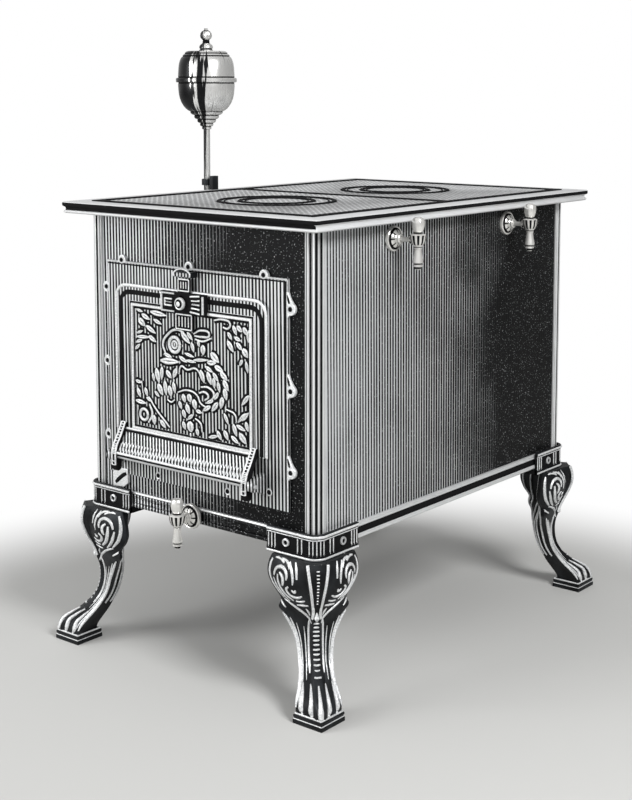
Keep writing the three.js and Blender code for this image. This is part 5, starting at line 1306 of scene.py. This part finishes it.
# Each tap: its place on the body, the way it faces, and how far out its rosette and its lever stand
taps = [
    ("front", half_width, -ring_place, pipe_level, 0, -2.5, 46),
    ("rear", half_width, ring_place, pipe_level, 0, -2.5, 46),
    ("oven", tap_shift, -half_depth, tap_level, -90, 4.5, 38),
]
for name, x, y, z, degrees, base, out in taps:
    seat = Matrix.Translation((x, y, z)) @ Matrix.Rotation(math.radians(degrees), 4, "Z")
    on_face = seat @ Matrix.Translation((base, 0, 0))
    petals = settled(copied(rosette, on_face @ to_right), f"rosette_{name}", nickel_plate, "stove", "nickel",
                     f"tap_rosette_{name}")
    back = on_face.inverted()
    # Painted shade: the rosette's groove and the wedges between its petals are painted black
    blackened(petals, lambda middle, normal: math.hypot(*(back @ middle)[1:]) < 17 and (
        math.hypot(*(back @ middle)[1:]) > 14.6 or (back @ middle)[0] < 10.9
        and abs(math.sin(4 * math.atan2((back @ middle)[2], (back @ middle)[1]))) < 0.42))
    grip = settled(copied(handle, seat @ Matrix.Translation((out, 0, 0))), f"lever_{name}", nickel_plate,
                   f"{name}_tap", "nickel", f"tap_handle_{name}")
    axis = seat @ Vector((out, 0, 0))
    # Painted shade: the lever's waists and the hollows of its flutes are painted black
    blackened(grip, lambda middle, normal: (middle - axis).xy.length < 14 and (
        any(low < middle.z - z < high for low, high in lever_hollows) or abs(middle.z - z) < 8
        and abs(math.sin(5 * math.atan2(middle.y - axis.y, middle.x - axis.x))) > 0.8))
    finished(f"tap_spindle_{name}", nickel_plate)
for spare in (rosette, handle):
    bpy.data.objects.remove(spare)


# Riser and clamp. A bent nickelled tube brings the spirit down from the reservoir and through the left
# side; a small bracket of black-leaded iron on the hob's edge holds it in an eye.

riser_x = -284
riser_y = -34
pipe_round = 6

# Nickel plate with dark upright streaks about 10 mm apart, painted reflections, and painted light and
# shade that closes them up on the side facing -X and -Y and thins them on the side facing +X and +Y.
nickel_painted_reflections, tree, place = blank("nickel_plate_painted_reflections")
middle = (body_middle.x + riser_x / 1000, body_middle.y + riser_y / 1000, 0.9)
centred = worked(tree, "SUBTRACT", place, middle, kind="VectorMath")
level = worked(tree, "MULTIPLY", centred, (1, 1, 0), kind="VectorMath")
around = worked(tree, "NORMALIZE", level, kind="VectorMath")
lowered = worked(tree, "MULTIPLY_ADD", centred, (0, 0, 2), around, kind="VectorMath")
reflection_streaks = noise(tree, lowered, 5.5, 2, 0.6)
# Painted light and shade: brighter on the side facing +X and +Y
painted_side_light = worked(tree, "DOT_PRODUCT", around, (0.7, 0.57, 0), kind="VectorMath")
share = worked(tree, "MULTIPLY_ADD", reflection_streaks, 3.2, painted_side_light)
reach = ranged(tree, share, 1.42, 1.56)
tone = mixed(tree, reach, "#101113", "#e2e2e0")
gloss = ranged(tree, reflection_streaks, 0, 1, 0.34, 0.2)
height = bumped(tree, reflection_streaks, 0.05, 0.0003)
surfaced(tree, {"Metallic": 0.6}, tone, height, gloss)


def along_path(path, radius, steps=24):
    """A tube whose middle follows the points of a path in the plane of X and Z"""
    rings = []
    for i, (x, z) in enumerate(path):
        before, after = path[max(i - 1, 0)], path[min(i + 1, len(path) - 1)]
        way = Vector((after[0] - before[0], 0, after[1] - before[1])).normalized()
        side = way.cross(Vector((0, 1, 0)))
        rings.append([
            tuple(Vector((x, riser_y + radius * math.sin(a), z)) + side * radius * math.cos(a))
            for a in (math.tau * k / steps for k in range(steps))
        ])
    return lofted(rings)


riser_turn = 18
riser_bend = arc(riser_x + riser_turn, pipe_level + riser_turn, riser_turn, 180, 270, 10)
riser_path = [(riser_x, 881), (riser_x, 800), *riser_bend, (-214.3, pipe_level)]
riser = along_path(riser_path, pipe_round)
settled(riser, "riser", nickel_painted_reflections, "stove", "nickel", "feed_pipe")
finished("pipe_clamp", black_leaded)


# Reservoir. A spun bowl on a stepped foot, a spun shoulder soldered to it at a raised band, and a neck
# with a loose turned cap. Nickel-plated brass, all turned round one upright line, streaked with painted
# reflections and shade as the riser is, and painted black as shade in rings under its steps and in its
# grooves.

bowl_profile = [
    (6.3, 861), (8, 861), (8.6, 861.6), (8.6, 865), (8, 865.8), (10.4, 866.6), (12.2, 868), (12.4, 871),
    (11.4, 872), (15, 873.2), (16.8, 874.8), (17.4, 878), (16.4, 879), (20, 880.2), (22.4, 882), (23, 885.6),
    (21.8, 886.6), (26, 888), (29, 890), (30, 892.4), (29.4, 893.4), (33.4, 895.4), (38, 898.8), (42.4, 904),
    (46.2, 910.4), (49, 918), (50.6, 925), (51.6, 934), (52, 941), (52, 944.6), (51.2, 945.2), (51.2, 946.4),
    (52, 946.9), (52, 950.7), (50, 950.7), (50, 942), (48.6, 928), (45, 915), (39, 906), (30, 900),
    (6.3, 898),
]
bowl = turned(bowl_profile, 72, 28)
dome_profile = [
    (52.3, 947), (54.8, 947), (55.9, 948.4), (55.9, 953.6), (54.8, 955), (52.6, 955.2), (51.4, 956),
    (51.4, 957), (52, 957.6), (51.6, 965), (51, 974), (50, 981), (48.4, 987), (46.2, 991.4), (44.4, 993.6),
    (43, 994), (42.7, 995.2), (43.2, 996), (40.8, 998.4), (39.2, 999), (38.9, 1000), (39.2, 1000.8),
    (36.6, 1003), (34, 1004), (14, 1004.2), (12.6, 1005), (12.6, 1006.4), (11, 1007), (11, 1008.8),
    (9, 1008.8), (9, 1002), (33, 1002), (40, 992), (46, 984), (49, 972), (50, 957), (50.4, 951), (52.3, 951),
]
dome = turned(dome_profile, 72, 28)
cap_profile = [
    (0, 1046), (2.4, 1045.6), (3.6, 1044), (3, 1042.4), (4.6, 1041.6), (8, 1039.6), (10.2, 1036),
    (10.8, 1031.8), (9.8, 1027.8), (7, 1025), (5.8, 1023.6), (6.2, 1021.6), (7, 1020.8), (6, 1019.8),
    (7.4, 1018), (10.6, 1015.6), (12.2, 1013.2), (12.5, 1010.6), (12.5, 1009.1), (8.6, 1009.1), (8.6, 998),
    (0, 998),
]
cap = turned(cap_profile, 48, 28)
for vertex in cap.data.vertices:
    if 1026 < vertex.co.z < 1037:
        share = 1 - 0.12 * abs(math.sin(4 * math.atan2(vertex.co.y, vertex.co.x)))
        vertex.co.x *= share
        vertex.co.y *= share
# Painted shade: black rings under the foot's steps, beside the band and in the neck's and cap's grooves
dark_rings = ((865.2, 866.4), (871, 872.4), (878, 879.6), (885.6, 887), (892.4, 894), (944.7, 946.7),
              (955.4, 957.4), (993.8, 995.8), (998.8, 1000.6), (1006.4, 1008.8), (1018.4, 1024.4),
              (1038, 1042))
for piece, name, rides, old in ((bowl, "bowl", "stove", "reservoir_bowl"),
                                (dome, "dome", "stove", "reservoir_dome"),
                                (cap, "spirit_cap", "cap", "filler_cap")):
    piece.data.transform(Matrix.Translation((riser_x, riser_y, 0)))
    settled(piece, name, nickel_painted_reflections, rides, "nickel", old)
    blackened(piece, lambda middle, normal: any(low < middle.z < high for low, high in dark_rings))


# Setting. A pale floor that runs out into white round the stove, a soft window-like light from the right
# front, a weaker one from the left, and the camera at the engraver's eye.

floor_paper, tree, place = blank("pale_floor")
floor_middle = body_middle + Vector((0.19, -0.23, 0))
away = worked(tree, "DISTANCE", place, floor_middle, kind="VectorMath")
fade = node(tree, "MapRange", {"From Min": 0.72, "From Max": 1.15, "interpolation_type": "SMOOTHSTEP"},
            {"Value": away})
ray = node(tree, "LightPath", {}, {})
share = worked(tree, "MULTIPLY", ray.outputs["Is Camera Ray"], fade.outputs[0])
matt = node(tree, "BsdfDiffuse", {"Color": colour("#c2c2c0")}, {})
white = node(tree, "Emission", {"Color": colour("#ffffff"), "Strength": 1}, {})
both = node(tree, "MixShader", {}, {0: share, 1: matt.outputs[0], 2: white.outputs[0]})
# Seen from below the floor is clear, so that it doesn't hide the underside of the stove
side = node(tree, "NewGeometry", {}, {})
under = worked(tree, "MULTIPLY", side.outputs["Backfacing"], ray.outputs["Is Camera Ray"])
clear = node(tree, "BsdfTransparent", {}, {})
whole = node(tree, "MixShader", {}, {0: under, 1: both.outputs[0], 2: clear.outputs[0]})
node(tree, "OutputMaterial", {}, {"Surface": whole.outputs[0]})
bpy.ops.object.select_all(action="DESELECT")
bpy.ops.mesh.primitive_plane_add(size=24)
floor = bpy.context.object
floor.name = "floor"
floor.data.materials.append(floor_paper)

world = bpy.data.worlds.new("studio_air")
bpy.context.scene.world = world
world.use_nodes = True
tree = world.node_tree
tree.nodes.clear()
ray = node(tree, "LightPath", {}, {})
place = node(tree, "TexCoord", {}, {})
right = worked(tree, "DOT_PRODUCT", place.outputs["Generated"], (0.75, 0.66, 0), kind="VectorMath")
dim = ranged(tree, right, -0.3, 0.9, 0.8, 0.1)
air = node(tree, "Background", {"Color": colour("#f2f2f2")}, {"Strength": dim})
white = node(tree, "Background", {"Color": colour("#ffffff"), "Strength": 1}, {})
both = node(tree, "MixShader", {}, {0: ray.outputs["Is Camera Ray"], 1: air.outputs[0], 2: white.outputs[0]})
node(tree, "OutputWorld", {}, {"Surface": both.outputs[0]})

lamps = (("window", (2.2, -0.7, 2.1), 0.8, 66), ("reflector", (-1.3, -2.4, 1.3), 1.4, 40))
for name, place, size, power in lamps:
    lamp = bpy.data.lights.new(name, "AREA")
    lamp.size = size
    lamp.energy = power
    stand = bpy.data.objects.new(name, lamp)
    stand.location = place
    stand.rotation_euler = (Vector((0, 0, 0.5)) - Vector(place)).to_track_quat("-Z", "Y").to_euler()
    bpy.context.scene.collection.objects.link(stand)

# The camera as fitted to the corners of body, hob and plinths in the engraving
eye = bpy.data.cameras.new("eye")
eye.lens = 65.19
eye.sensor_width = 36
eye.shift_y = -0.2
camera = bpy.data.objects.new("eye", eye)
camera.location = (1.5863, -1.9877, 0.9388)
camera.rotation_euler = (math.radians(90 - 6.036), 0, math.radians(39.141))
bpy.context.scene.collection.objects.link(camera)
bpy.context.scene.camera = camera
bpy.context.scene.view_settings.view_transform = "Standard"
